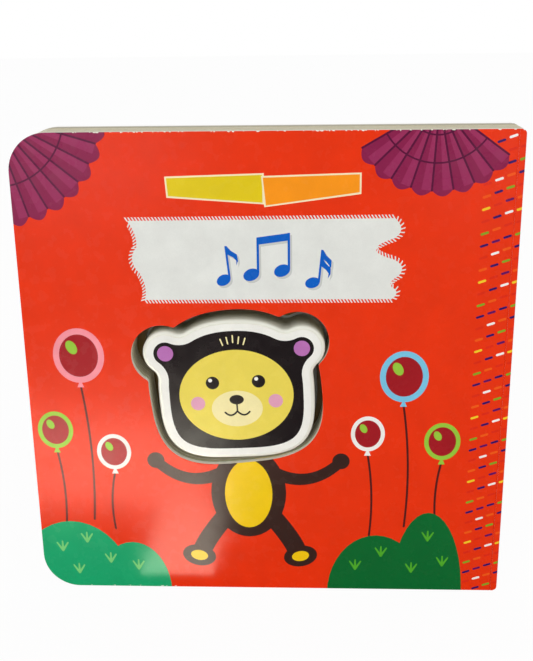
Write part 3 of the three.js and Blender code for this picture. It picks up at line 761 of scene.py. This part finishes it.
def fan(centre, radius, start, end, pleats):
    """A pleated paper fan with a scalloped rim."""
    span = (end - start) / pleats
    outline = [centre]
    for i in range(pleats):
        for k in range(8):
            reach = radius * (1 + FAN_SCALLOP * math.sin(math.pi * k / 8))
            outline.append(polar(centre, reach, start + span * i + span * k / 8))
    outline.append(polar(centre, radius, end))
    motifs = [(outline, "plum")]
    for i in range(pleats):
        half, whole = start + span * (i + 0.5), start + span * (i + 1)
        wedge = [polar(centre, radius, angle) for angle in (half, (half + whole) / 2, whole)]
        motifs.append(([centre] + wedge, "plum_light"))
    for i in range(pleats + 1):
        ray = [polar(centre, reach, start + span * i) for reach in (FAN_HUB, radius)]
        motifs.append((stroke(ray, 0.7), "plum_line"))
    for share in FAN_RINGS:
        ring = [polar(centre, radius * share, start + (end - start) * k / 24) for k in range(25)]
        motifs.append((stroke(ring, 0.6), "plum_line"))
    return motifs


def torn(end, edge, inward, low, tall):
    """Points along a torn end of the banner."""
    def spot(inwards, share):
        return (edge + inward * inwards, low + share * tall)

    first, bends = end
    points = [spot(*first)]
    for count, control, last in bends:
        points += curve(points[-1], spot(*control), spot(*last), count)[1:]
    return points


def banner(left, right, low, high):
    """A bare paper strip with torn ends, and fine slanted teeth all along its edge."""
    left_end = torn(TORN_LEFT, left, 1, low, high - low)
    outline = left_end[-1:] + torn(TORN_RIGHT, right, -1, low, high - low) + left_end[:-1]
    shapes = [outline]
    along = 0.0
    for a, b in zip(outline, outline[1:] + outline[:1]):
        length = math.dist(a, b)
        dx, dy = (b[0] - a[0]) / length, (b[1] - a[1]) / length

        def spot(forward, out):
            return (a[0] + dx * forward + dy * out, a[1] + dy * forward - dx * out)

        while along < length:
            tip = along + TOOTH_LEAN
            shapes.append([spot(along - TOOTH_HALF, -TOOTH_ROOT), spot(along + TOOTH_HALF, -TOOTH_ROOT),
                           spot(tip + TOOTH_HALF, TOOTH_REACH), spot(tip - TOOTH_HALF, TOOTH_REACH)])
            along += TOOTH_PITCH
        along -= length
    return shapes


def placed(shapes, x, y, size, lean):
    return [moved([(a * size, b * size) for a, b in shape], lean, (x, y)) for shape in shapes]


def note(x, y, size, lean=0.0, flags=1):
    """A plain quaver, or a semiquaver with two flags."""
    shapes = [ellipse(0, 0, *NOTE_HEAD, NOTE_TURN), rectangle(*NOTE_STEM, NOTE_FOOT, NOTE_TOP)]
    for k in range(flags):
        shapes.append([(across, up - NOTE_FLAG_DROP * k) for across, up in NOTE_FLAG])
    return placed(shapes, x, y, size, lean)


def note_pair(x, y, size, lean=0.0):
    """Two joined quavers."""
    near, far = NOTE_STEM
    shapes = []
    for across, rise in ((0, 0), (PAIR_ACROSS, PAIR_RISE)):
        shapes.append(ellipse(across, rise, *NOTE_HEAD, NOTE_TURN))
    shapes.append(rectangle(near, far, NOTE_FOOT, PAIR_TOP))
    shapes.append(rectangle(near + PAIR_ACROSS, far + PAIR_ACROSS, NOTE_FOOT + PAIR_RISE, PAIR_BEAM[2][1]))
    shapes.append(list(PAIR_BEAM))
    return placed(shapes, x, y, size, lean)


def balloon(across, down, radius, rim, foot, bend):
    """A balloon on a string, a little taller than it is wide."""
    x, y = at(across, down)
    knot = y - radius * BALLOON_TALL
    line = curve((x, knot - 1.0), (x + bend, (knot + foot) / 2), (x + bend * 0.4, foot))
    return [
        (stroke(line, BALLOON_STRING), "stem"),
        ([(x - 1.3, knot - 1.8), (x + 1.3, knot - 1.8), (x, knot + 1.2)], rim),
        (ellipse(x, y, radius, radius * BALLOON_TALL), rim),
        (ellipse(x, y, *[radius * share for share in BALLOON_INNER]), "dark_red"),
        (ellipse(x - radius * 0.26, y + radius * 0.34, radius * 0.2, radius * 0.3, 28, 20), "rim_lime"),
    ]


def hills(bumps, ink, tufts=(), tuft_ink="green_dot", size=4, low=-2.0):
    """Rounded hills (across, half width, top) that run off the foot, with tufts of grass (across, up)."""
    motifs = [(ellipse(LEFT + across, low, half, top - low), ink) for across, half, top in bumps]
    for across, up in tufts:
        for lean in (-32, 0, 32):
            blade = moved([(0, 0), (0, size * 0.55), (0, size)], lean, (LEFT + across, up))
            motifs.append((stroke(blade, size * 0.24, 0.6), tuft_ink))
    return motifs


def dash_band(first, columns):
    """Short slanted dashes in columns, in an order that repeats."""
    motifs = []
    for column in range(columns):
        order = DASH_ORDERS[column % 3]
        y = TOP - DASH_DROPS[column % 3]
        row = 0 if column % 3 else 5
        while y > 1.0:
            place_at = (first + DASH_APART * column, y)
            dash = moved([(-DASH_HALF, 0), (0, 0), (DASH_HALF, 0)], DASH_TURN, place_at)
            motifs.append((stroke(dash, DASH_WIDTH), order[row % 6]))
            y -= DASH_PITCH
            row += 1
    return motifs


def bear_body(x, top):
    """A plain seated body below the window, with arms and feet spread evenly."""
    motifs = []
    for side in (-1, 1):
        def spot(place_at):
            return (x + side * place_at[0], top + place_at[1])

        motifs += [
            (stroke(curve(*map(spot, ARM)), ARM_WIDTH, 0.8), "brown"),
            (circle(*spot(HAND), HAND_RADIUS), "brown"),
            (stroke(curve(*map(spot, LEG), 10), LEG_WIDTH), "brown"),
            (ellipse(*spot(FOOT), *FOOT_SIZE, side * FOOT_TURN), "brown"),
            (ellipse(*spot(FOOT), *SOLE_SIZE, side * FOOT_TURN), "belly"),
        ]
    return motifs + [(ellipse(x, top - down, half, tall), ink) for down, half, tall, ink in TRUNK]


def label_shape(corners, ink):
    """A paper label with a thin cream edge."""
    centre = [sum(p[k] for p in corners) / len(corners) for k in (0, 1)]
    inner = [tuple(p[k] - math.copysign(LABEL_EDGE, p[k] - centre[k]) for k in (0, 1)) for p in corners]
    return [(corners, "cream"), (inner, ink)]


def edge_chips(rng, count, left, right, y, depth):
    """Small flakes where the print has worn off along a horizontal edge."""
    chips = []
    for _ in range(count):
        x = rng.uniform(left, right)
        width = rng.uniform(*CHIP_WIDTH)
        reach = depth * rng.uniform(*CHIP_REACH)
        chips.append(([(x, y), (x + width, y), (x + width * rng.uniform(0.5, 0.8), y - reach),
                       (x + width * rng.uniform(0.1, 0.4), y - reach * rng.uniform(0.3, 0.9))], "cut"))
    return chips


def dots(rows, low, pitch, radius, ink, count):
    """Staggered rows of dots over the width of a page."""
    motifs = []
    for row in range(rows):
        for column in range(DOT_COLUMNS):
            x = LEFT + DOT_INSET + DOT_PITCH * column + (DOT_STAGGER if row % 2 else 0)
            motifs.append((circle(x, low + pitch * row, radius, count), ink))
    return motifs


def front_motifs():
    rng = random.Random(7)
    motifs = dash_band(LEFT + DASH_FIRST, 4)
    motifs += fan(at(-5, -7), 38, -96, 6, 9)
    motifs += fan(at(150, -9), 30, -150, -36, 8)
    for values in BALLOONS:
        motifs += balloon(*values)
    motifs += hills([(12, 24, 29), (36, 15, 20)], "green_left",
                    [(8, 16), (18, 20), (27, 11), (38, 8), (14, 6)], "green_tuft")
    motifs += hills([(132, 19, 24), (152, 14, 34)], "green_right",
                    [(124, 9), (134, 15), (146, 8), (152, 22), (158, 11)])
    motifs += bear_body(WINDOW[0][0] + 4.4, TOP - 122)
    strip = banner(LEFT + 40.5, LEFT + 140, TOP - 60.4, TOP - 30.6)
    motifs += [(points, "banner") for points in strip]
    tune = note(*at(75, 53), 1.35, 6) + note_pair(*at(85, 51), 1.5, 0) + note(*at(107, 54), 1.35, -6, 2)
    for dx, dy, ink in ((0.7, -0.8, "banner_shade"), (0, 0, "blue")):
        motifs += [([(x + dx, y + dy) for x, y in shape], ink) for shape in tune]
    for ink, corners in LABELS:
        motifs += label_shape([at(*corner) for corner in corners], ink)
    motifs += edge_chips(rng, 60, LEFT + 20, RIGHT, TOP, 0.45)
    motifs += edge_chips(rng, 8, LEFT + 16, LEFT + 60, 0.5, 0.5)
    return motifs


def inside_motifs():
    """The inside of the cover: pale sky with dots above hills."""
    return dots(9, 14, 19, 1.6, "dash_white", 20) + hills([(30, 60, 34), (120, 70, 26)], "page_green")


def page_motifs():
    """The first page: meadow greens under a sky, with a bright path."""
    motifs = [(rectangle(LEFT - 5, RIGHT + 5, 120, TOP + 5), "page_sky")]
    motifs += hills([(20, 70, 128), (150, 80, 122)], "page_green")
    motifs += hills([(60, 90, 60), (165, 60, 74)], "page_green_dark",
                    [(20, 30), (44, 22), (120, 26), (150, 44)], "green_tuft", 5)
    path = curve((LEFT + 110, -4), (LEFT + 70, 40), (LEFT + 108, 84), 20)
    motifs.append((stroke(path, 20, 0.45), "page_yellow"))
    return motifs


def last_motifs():
    """The last page: plain ground with a darker foot and dots."""
    return hills([(40, 80, 52), (140, 80, 44)], "page_brown_dark") + dots(8, 60, 15, 1.3, "page_yellow", 16)


def back_motifs():
    """The back: the same ground, fans in two corners and hills, with nothing written."""
    motifs = fan((LEFT + 4, TOP + 6), 34, -92, 4, 8)
    motifs += fan((RIGHT - 20, TOP + 8), 26, -160, -20, 8)
    motifs += hills([(26, 44, 24), (70, 30, 15)], "green_left", [(14, 10), (32, 14), (60, 7)], "green_tuft")
    motifs += hills([(120, 30, 18), (150, 26, 28)], "green_right", [(120, 8), (146, 17), (158, 9)])
    return motifs


# The printed boards

def window(grow):
    return head(grow, WINDOW)


def make_board(name, slot, body, node, left, right, *details):
    """One board in place of a node. Its holes, depths and prints go on to board."""
    builder = Builder()
    board(builder, lambda g: board_outline(left, right, g), *details)
    builder.make(name, body, [node])


def make_front_cover():
    make_board("cover_board_front", "cover_print", "cover", "front_cover", LEFT, cover_high.x, [window],
               FRONT, cover_high.y, (front_motifs(), "ground"), (inside_motifs(), "page_sky"))


def door_opening(grow):
    half, low, high, corner = DOORWAY
    return on_button(rectangle(-half - grow, half + grow, low - grow, high + grow, (corner + grow,) * 4))


def sound_hole_centres():
    low, high = box("speaker_frame")
    reach = (high.x - low.x) / 2 * SOUND_RING_SHARE
    centre = middle("speaker_frame")
    return [centre] + [polar(centre, reach, 60 * i + BUTTON[1]) for i in range(6)]


def make_back_cover():
    holes = [door_opening]
    for x, y in sound_hole_centres():
        holes.append(lambda g, x=x, y=y: circle(x, y, SOUND_HOLE + g, 20))
    make_board("cover_board_back", "cover_print", "book", "back_cover", LEFT, back_high.x, holes,
               back_low.y, BACK, ([], "paper"), (back_motifs(), "ground"), "cut", LEAF_BEVEL)


def make_spacer():
    def opening(grow):
        half_across = EAR[0] + EAR_RADIUS + MODULE_MARGIN + grow
        half_up = HEAD_HALF_HEIGHT + MODULE_MARGIN + grow
        corner = MODULE_CORNER + grow
        outline = rectangle(-half_across, half_across, -half_up, half_up, (corner,) * 4)
        return moved(outline, BUTTON[1], middle("base_housing"))

    make_board("spacer_core", "greyboard", "book", "spacer_board", spacer_low.x, LEAF_RIGHT, [opening],
               spacer_low.y, spacer_high.y, ([], "grey_edge"), ([], "grey_edge"), "grey_edge", SPACER_BEVEL)


def make_last_page():
    make_board("page_last", "page_board", "book", "last_page", last_low.x, LEAF_RIGHT,
               [lambda g: head(PAGE_GAP - BUTTON_GAP + g, BUTTON)], last_low.y, last_high.y,
               (last_motifs(), "page_brown"), ([], "paper"), "leaf_edge", LAST_BEVEL)


def make_leaves():
    """Six leaves, each trimmed a hair differently, and the glue along the spine."""
    rng = random.Random(11)
    builder = Builder()
    pitch = LEAF_BOARD + LEAF_GAP
    for i in range(LEAF_COUNT):
        near = block_low.y + i * pitch
        trim = rng.uniform(0.0, LEAF_TRIM)
        shift = rng.uniform(0.0, LEAF_SHIFT)
        print_front = (page_motifs(), "page_green") if i == 0 else ([], "paper")

        def outline(grow, trim=trim):
            corner = FORE_CORNER + grow
            return rectangle(block_low.x + trim - grow, LEAF_RIGHT + grow,
                             trim / 2 - grow, TOP - trim + grow, (corner, 0, 0, corner))

        board(builder, outline, [lambda g, shift=shift: window(g + shift)], near, near + LEAF_BOARD,
              print_front, ([], "paper"), "leaf_edge", LEAF_BEVEL)
    glue = rectangle(LEAF_RIGHT - GLUE_WIDTH, LEAF_RIGHT, GLUE_INSET, TOP - GLUE_INSET)
    sheet = partition(glue, [], [], "leaf_edge")
    put = front_place(block_low.y + LEAF_BOARD / 2)
    builder.rim(builder.sheet(sheet, put), [(0, block_high.y - block_low.y - LEAF_BOARD, "leaf_edge")], put)
    return builder.make("page_leaves", "book", ["page_block"])


# The spine: a board core under one printed sheet that wraps round it

SPINE_ROUND = 0.7
SPINE_BEND_STEPS = 6
SPINE_WALL = 1.0
SPINE_CHAMFER = 0.2
SPINE_END_GAP = 0.02
SHEET = 0.12
# Lengths along the wrapped sheet: a flat side, a bend, and half of it all
FLAT = RIGHT - spine_low.x - SPINE_ROUND
BEND = SPINE_ROUND * math.pi / 2
HALF_WRAP = FLAT + BEND + (BACK - FRONT) / 2 - SPINE_ROUND


def wrap_profile(s, sink):
    """A place on the wrap, s millimetres along it from the front crease, sunk below the print."""
    along = HALF_WRAP - abs(s - HALF_WRAP)
    if along <= FLAT:
        x, deep = spine_low.x + along, sink
    elif along <= FLAT + BEND:
        angle = (along - FLAT) / SPINE_ROUND
        x = RIGHT - SPINE_ROUND + (SPINE_ROUND - sink) * math.sin(angle)
        deep = SPINE_ROUND - (SPINE_ROUND - sink) * math.cos(angle)
    else:
        x, deep = RIGHT - sink, along - FLAT - BEND + SPINE_ROUND
    return x, FRONT + deep if s < HALF_WRAP else BACK - deep


def spine_drop(x):
    """How far the spine's rounded end has fallen at x."""
    along = min(max(0.0, x - (RIGHT - SPINE_CORNER)), SPINE_CORNER)
    return SPINE_CORNER - math.sqrt(SPINE_CORNER ** 2 - along ** 2)


def make_spine_sheet():
    """The print, laid flat, cut along its bends and wrapped round the spine."""
    length = 2 * HALF_WRAP
    cuts = []
    for start in (FLAT, length - FLAT - BEND):
        for k in range(SPINE_BEND_STEPS + 1):
            s = start + BEND * k / SPINE_BEND_STEPS
            cuts.append(((s, -1.0), (s, TOP + 1.0)))
    motifs = [
        (points, ink) for points, ink in dash_band(LEFT + DASH_FIRST - spine_low.x, 9)
        if max(p[0] for p in points) > -0.5]
    motifs += edge_chips(random.Random(5), 5, 0, length, TOP, 0.5)
    builder = Builder()

    def put(p, depth=0.0):
        x, y = wrap_profile(p[0], depth)
        drop = spine_drop(x)
        return x, y, min(max(p[1], drop), TOP - drop)

    border = builder.sheet(partition(rectangle(0, length, 0, TOP), [], motifs, "ground", cuts), put)
    builder.rim(border, [(0, SHEET, None)], put)
    builder.make("spine_sheet", "book")


def make_spine_core():
    """The board under the sheet: a side wall with a lip along each cover."""
    builder = Builder()
    inner = RIGHT - SPINE_WALL
    skin = RIGHT - SHEET
    rounded = [RIGHT - SPINE_CORNER + SPINE_CORNER * k / 8 for k in range(5)]
    lip = [spine_low.x] + rounded
    section = []
    for sheet_y, lip_y, towards in ((FRONT, cover_high.y, 1), (BACK, back_low.y, -1)):
        half = [(inner, lip_y)] + [(x, lip_y) for x in lip[-2::-1]]
        half += [(x, sheet_y + towards * SHEET) for x in lip]
        half += [(RIGHT - SPINE_ROUND, sheet_y + towards * SHEET),
                 (skin - SPINE_CHAMFER, sheet_y + towards * (SHEET + SPINE_CHAMFER)),
                 (skin, sheet_y + towards * SPINE_ROUND)]
        section += half[::towards]
    triangles = partition(section, [], [], "cut")

    def end_place(top):
        def put(p):
            fall = spine_drop(p[0]) + SPINE_END_GAP
            return p[0], p[1], TOP - fall if top else fall
        return put

    _, used_low, edge_low = builder.sheet(triangles, end_place(False), True)
    _, used_high, _ = builder.sheet(triangles, end_place(True))
    for a, (b, _) in edge_low.items():
        builder.face([used_low[a], used_low[b], used_high[b], used_high[a]], "cut")
    return builder.make("spine_core", "book", ["spine_wrap"])


CREASE_HALF = 1.1
CREASE_DEPTH = 0.2
CREASE_WIDTH = 0.32
CREASE_SINK = 0.05
CREASE_PAPER = 0.09
CREASE_COLUMNS = 12
CREASE_ROWS = 60


def make_crease(name, y, towards, blend):
    """The laminate where it crosses a crease: a shallow groove, with its ends under the prints."""
    builder = Builder()
    inner, outer = [], []
    for i in range(CREASE_COLUMNS + 1):
        x = CREASE - CREASE_HALF + 2 * CREASE_HALF * i / CREASE_COLUMNS
        dip = math.exp(-((x - CREASE) / CREASE_WIDTH) ** 2)
        skin = y + towards * (CREASE_SINK + dip * CREASE_DEPTH)
        heights = [TOP * k / CREASE_ROWS for k in range(CREASE_ROWS + 1)]
        outer.append([builder.point(x, skin, z) for z in heights])
        inner.append([builder.point(x, skin + towards * CREASE_PAPER, z) for z in heights])
    for i in range(CREASE_COLUMNS):
        for k in range(CREASE_ROWS):
            quad = [outer[i][k], outer[i + 1][k], outer[i + 1][k + 1], outer[i][k + 1]]
            under = [inner[i][k], inner[i][k + 1], inner[i + 1][k + 1], inner[i + 1][k]]
            builder.face(quad if towards > 0 else quad[::-1], "ground", True)
            builder.face(under if towards > 0 else under[::-1], "paper", True)
    piece = builder.make(name, None if blend else "book")
    if blend:
        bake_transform(piece)
    return piece


# The button

def cap_rods(builder, roof):
    """Under the cap, the four posts with their shoulders and the plunger that holds the puck."""
    def rod(node, radius, back):
        ring = circle(*middle(node), radius, 28)
        front, rear = [[builder.point(x, y, z) for x, z in ring] for y in (roof, back)]
        builder.band(rear, front, "button")
        builder.face(rear, "button")

    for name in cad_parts:
        if name.startswith("cap_screw_"):
            rod(name, POST_RADIUS, box(name)[1].y - SCREW_HEAD)
            rod(name, SHOULDER_RADIUS, box(name.replace("cap_screw", "return_spring"))[0].y)
    rod("contact_puck", PLUNGER_RADIUS, box("contact_puck")[1].y - PUCK_SHOWS)


def make_button():
    """A moulded cap: a skirt, a rounded edge, a flat face and the hollow under it."""
    builder = Builder()
    outer = -BUTTON_GAP
    skin = [(outer, cap_high.y), (outer, cap_low.y + BUTTON_EDGE)]
    for i in range(1, BUTTON_EDGE_STEPS + 1):
        angle = math.pi / 2 * i / BUTTON_EDGE_STEPS
        skin.append((outer - BUTTON_EDGE * (1 - math.cos(angle)),
                     cap_low.y + BUTTON_EDGE * (1 - math.sin(angle))))
    inside = cap_low.y + BUTTON_TOP
    hollow = [(outer - BUTTON_WALL, cap_high.y), (outer - BUTTON_WALL, inside)]
    feet = []
    for levels, flip in ((skin, False), (hollow, True)):
        rings = [[builder.point(x, y, z) for x, z in head(grow, BUTTON)] for grow, y in levels]
        for low, high in zip(rings, rings[1:]):
            builder.band(low, high, "button", True, flip)
        grow, y = levels[-1]
        builder.sheet(partition(head(grow, BUTTON), [], [], "button"), front_place(y), flip)
        feet.append(rings[0])
    builder.band(*feet, "button", False, True)
    cap_rods(builder, inside)
    return builder.make("button_shell", "button", ["button_cap"])


def bear_face():
    """A plain bear's face on the button's sheet."""
    motifs = [(head(-(BUTTON_GAP + BUTTON_EDGE + LABEL_INSET + LABEL_BORDER)), "face_black")]
    motifs += [(ellipse(*values[:4], 0, values[4]), values[5]) for values in FACE]
    motifs.append((rectangle(*NOSE_LINE), "face_black"))
    for side in (-1, 1):
        smile = curve(*[(side * across, up) for across, up in SMILE], 10)
        motifs.append((stroke(smile, 0.7), "face_black"))
    for k in range(-2, 3):
        tuft = [(k * 1.9, 19.0 - abs(k) * 0.5), (k * 2.3, 21.6 - abs(k) * 0.6)]
        motifs.append((stroke(tuft, 0.5), "face_cream"))
    return [(on_button(points), ink) for points, ink in motifs]


def make_label():
    builder = Builder()
    inset = -(BUTTON_GAP + BUTTON_EDGE + LABEL_INSET)
    sheet = partition(head(inset - LABEL_BEVEL, BUTTON), [], bear_face(), "white")
    put = front_place(label_low.y)
    thick = label_high.y - label_low.y
    border = builder.sheet(sheet, put)
    builder.rim(border, [(LABEL_BEVEL, LABEL_BEVEL, None), (LABEL_BEVEL, thick, "cut")], put)
    builder.sheet(partition(head(inset, BUTTON), [], [], "paper"), front_place(label_high.y), True)
    return builder.make("face_sheet", "button", ["face_label"])


# The return springs, which shorten as the button goes in, copied as steel coils with meshes of their own

def make_springs():
    for name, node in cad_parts.items():
        if not name.startswith("return_spring_"):
            continue
        mesh = node.data.copy()
        mesh.materials.clear()
        mesh.materials.append(steel_material)
        piece = new_object(name.replace("return_spring", "coil"), mesh)
        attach(piece, "book")
        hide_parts(name)
        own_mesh(piece)


def dress_nodes():
    for name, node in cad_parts.items():
        finishes = [finish for start, finish in FINISHES.items() if name.startswith(start)]
        if not finishes:
            continue
        if not node.material_slots:
            node.data.materials.append(finishes[0])
        for slot in node.material_slots:
            slot.material = finishes[0]


# Camera, lights and floor

FOCAL_PIXELS = 975.0
IMAGE_WIDTH = 533.0
SENSOR = 36.0
PITCH, YAW, ROLL = 17.7, 2.63, -0.75
CAMERA_SHIFT = Vector((0.0, 0.095, 2.014))
WORLD_LIGHT = 0.57
FLOOR_GLOW = 0.96
FLOOR_HALF = 6.0
AIM = (0, 0, 0.09)
WARM = (1, 0.96, 0.8)
COOL = (1, 0.94, 0.98)
# Name, place, aim, size and watts
LAMPS = (
    ("key", (-0.65, -1.3, 0.6), AIM, (0.9, 0.6), 6.3),
    ("fill", (0.75, -0.7, 0.8), AIM, (0.5, 0.5), 2.6),
)
# Name, place, aim, size, radiance and tint
CARDS = (
    ("sheet_in_front", (-0.1, -0.129, 0.001), (-0.1, -0.129, 1), (0.146, 0.107), 18.0, WARM),
    ("sheet_near", (-0.038, -0.046, 0.001), (-0.038, -0.046, 1), (0.03, 0.058), 17.5, WARM),
    ("window_left", (-0.2, -0.52, 0.1), (0, 0, 0.17), (0.2, 0.05), 7.0, COOL),
    ("window_right", (0.17, -0.52, 0.1), (0.05, 0, 0.17), (0.08, 0.04), 5.5, COOL),
)


def make_camera():
    """The photograph's camera, worked out from the four corners of the cover."""
    turn = (Matrix.Rotation(math.radians(ROLL), 3, "Z") @ Matrix.Rotation(math.radians(PITCH), 3, "X")
            @ Matrix.Rotation(math.radians(YAW), 3, "Y"))
    width = (RIGHT - LEFT) * MM
    seat = -(turn.transposed() @ (CAMERA_SHIFT * width))
    to_world = Matrix(((1, 0, 0), (0, 0, 1), (0, -1, 0)))
    centre = Vector((0, FRONT, TOP / 2)) * MM
    right, down, away = (to_world @ row for row in turn)
    basis = Matrix((right, -down, -away)).transposed()
    data = bpy.data.cameras.new("camera")
    data.sensor_fit = "HORIZONTAL"
    data.sensor_width = SENSOR
    data.lens = FOCAL_PIXELS / IMAGE_WIDTH * SENSOR
    camera = new_object("camera", data)
    camera.matrix_world = Matrix.Translation(centre + to_world @ seat) @ basis.to_4x4()
    bpy.context.scene.camera = camera


def area_light(name, place_at, look_at, size, power, tint=(1, 1, 1)):
    data = bpy.data.lights.new(name, "AREA")
    data.shape = "RECTANGLE"
    data.size, data.size_y = size
    data.energy = power
    data.color = tint
    light = new_object(name, data)
    light.location = place_at
    light.rotation_euler = (Vector(look_at) - Vector(place_at)).to_track_quat("-Z", "Y").to_euler()
    return light


def show(tree, factor, plain, other, out):
    """Ends a node tree with a blend of two shaders."""
    blend = add(tree, "ShaderNodeMixShader")
    for socket, source in (("Fac", factor), (1, plain), (2, other)):
        tree.links.new(source, blend.inputs[socket])
    tree.links.new(blend.outputs["Shader"], out.inputs["Surface"])


def make_world():
    world = bpy.data.worlds.new("studio")
    world.use_nodes = True
    tree = world.node_tree
    tree.nodes.clear()
    ray = add(tree, "ShaderNodeLightPath")
    seen = ray.outputs["Is Camera Ray"]
    for kind in ("Is Transmission Ray", "Is Glossy Ray"):
        either = add(tree, "ShaderNodeMath", settings={"operation": "MAXIMUM"})
        tree.links.new(seen, either.inputs[0])
        tree.links.new(ray.outputs[kind], either.inputs[1])
        seen = either.outputs["Value"]
    lit = add(tree, "ShaderNodeBackground", inputs={"Color": (1, 1, 1, 1), "Strength": WORLD_LIGHT})
    white = add(tree, "ShaderNodeBackground", inputs={"Color": (1, 1, 1, 1), "Strength": 1.0})
    out = add(tree, "ShaderNodeOutputWorld")
    show(tree, seen, lit.outputs["Background"], white.outputs["Background"], out)
    bpy.context.scene.world = world


def make_floor():
    mesh = bpy.data.meshes.new("floor")
    corners = rectangle(-FLOOR_HALF, FLOOR_HALF, -FLOOR_HALF, FLOOR_HALF)
    mesh.from_pydata([(x, y, 0) for x, y in corners], [], [(0, 1, 2, 3)])
    floor = new_object("floor", mesh)
    material, tree, shader = new_material("floor_white")
    shader.inputs["Base Color"].default_value = (0.86, 0.86, 0.86, 1)
    shader.inputs["Roughness"].default_value = 0.7
    ray = add(tree, "ShaderNodeLightPath")
    share = add(tree, "ShaderNodeMath", settings={"operation": "MULTIPLY"})
    share.inputs[1].default_value = FLOOR_GLOW
    glow = add(tree, "ShaderNodeEmission", inputs={"Color": (1, 1, 1, 1), "Strength": 1.0})
    tree.links.new(ray.outputs["Is Camera Ray"], share.inputs[0])
    show(tree, share.outputs["Value"], shader.outputs["BSDF"], glow.outputs["Emission"],
         tree.nodes["Material Output"])
    mesh.materials.append(material)


def card(name, place_at, look_at, size, radiance, tint):
    """A bright sheet that only shows as a soft reflection in the gloss film."""
    power = radiance * math.pi * size[0] * size[1]
    light = area_light(name, place_at, look_at, size, power, tint)
    light.visible_diffuse = False
    light.visible_camera = False


def make_lights():
    for lamp in LAMPS:
        area_light(*lamp)
    for values in CARDS:
        card(*values)


bpy.context.scene.view_settings.view_transform = "Standard"
make_camera()
make_world()
make_floor()
make_lights()
make_front_cover()
make_back_cover()
make_spacer()
make_last_page()
make_leaves()
make_spine_sheet()
make_spine_core()
make_crease("crease_front", FRONT, 1, True)
make_crease("crease_back", BACK, -1, False)
make_button()
make_label()
make_springs()
dress_nodes()
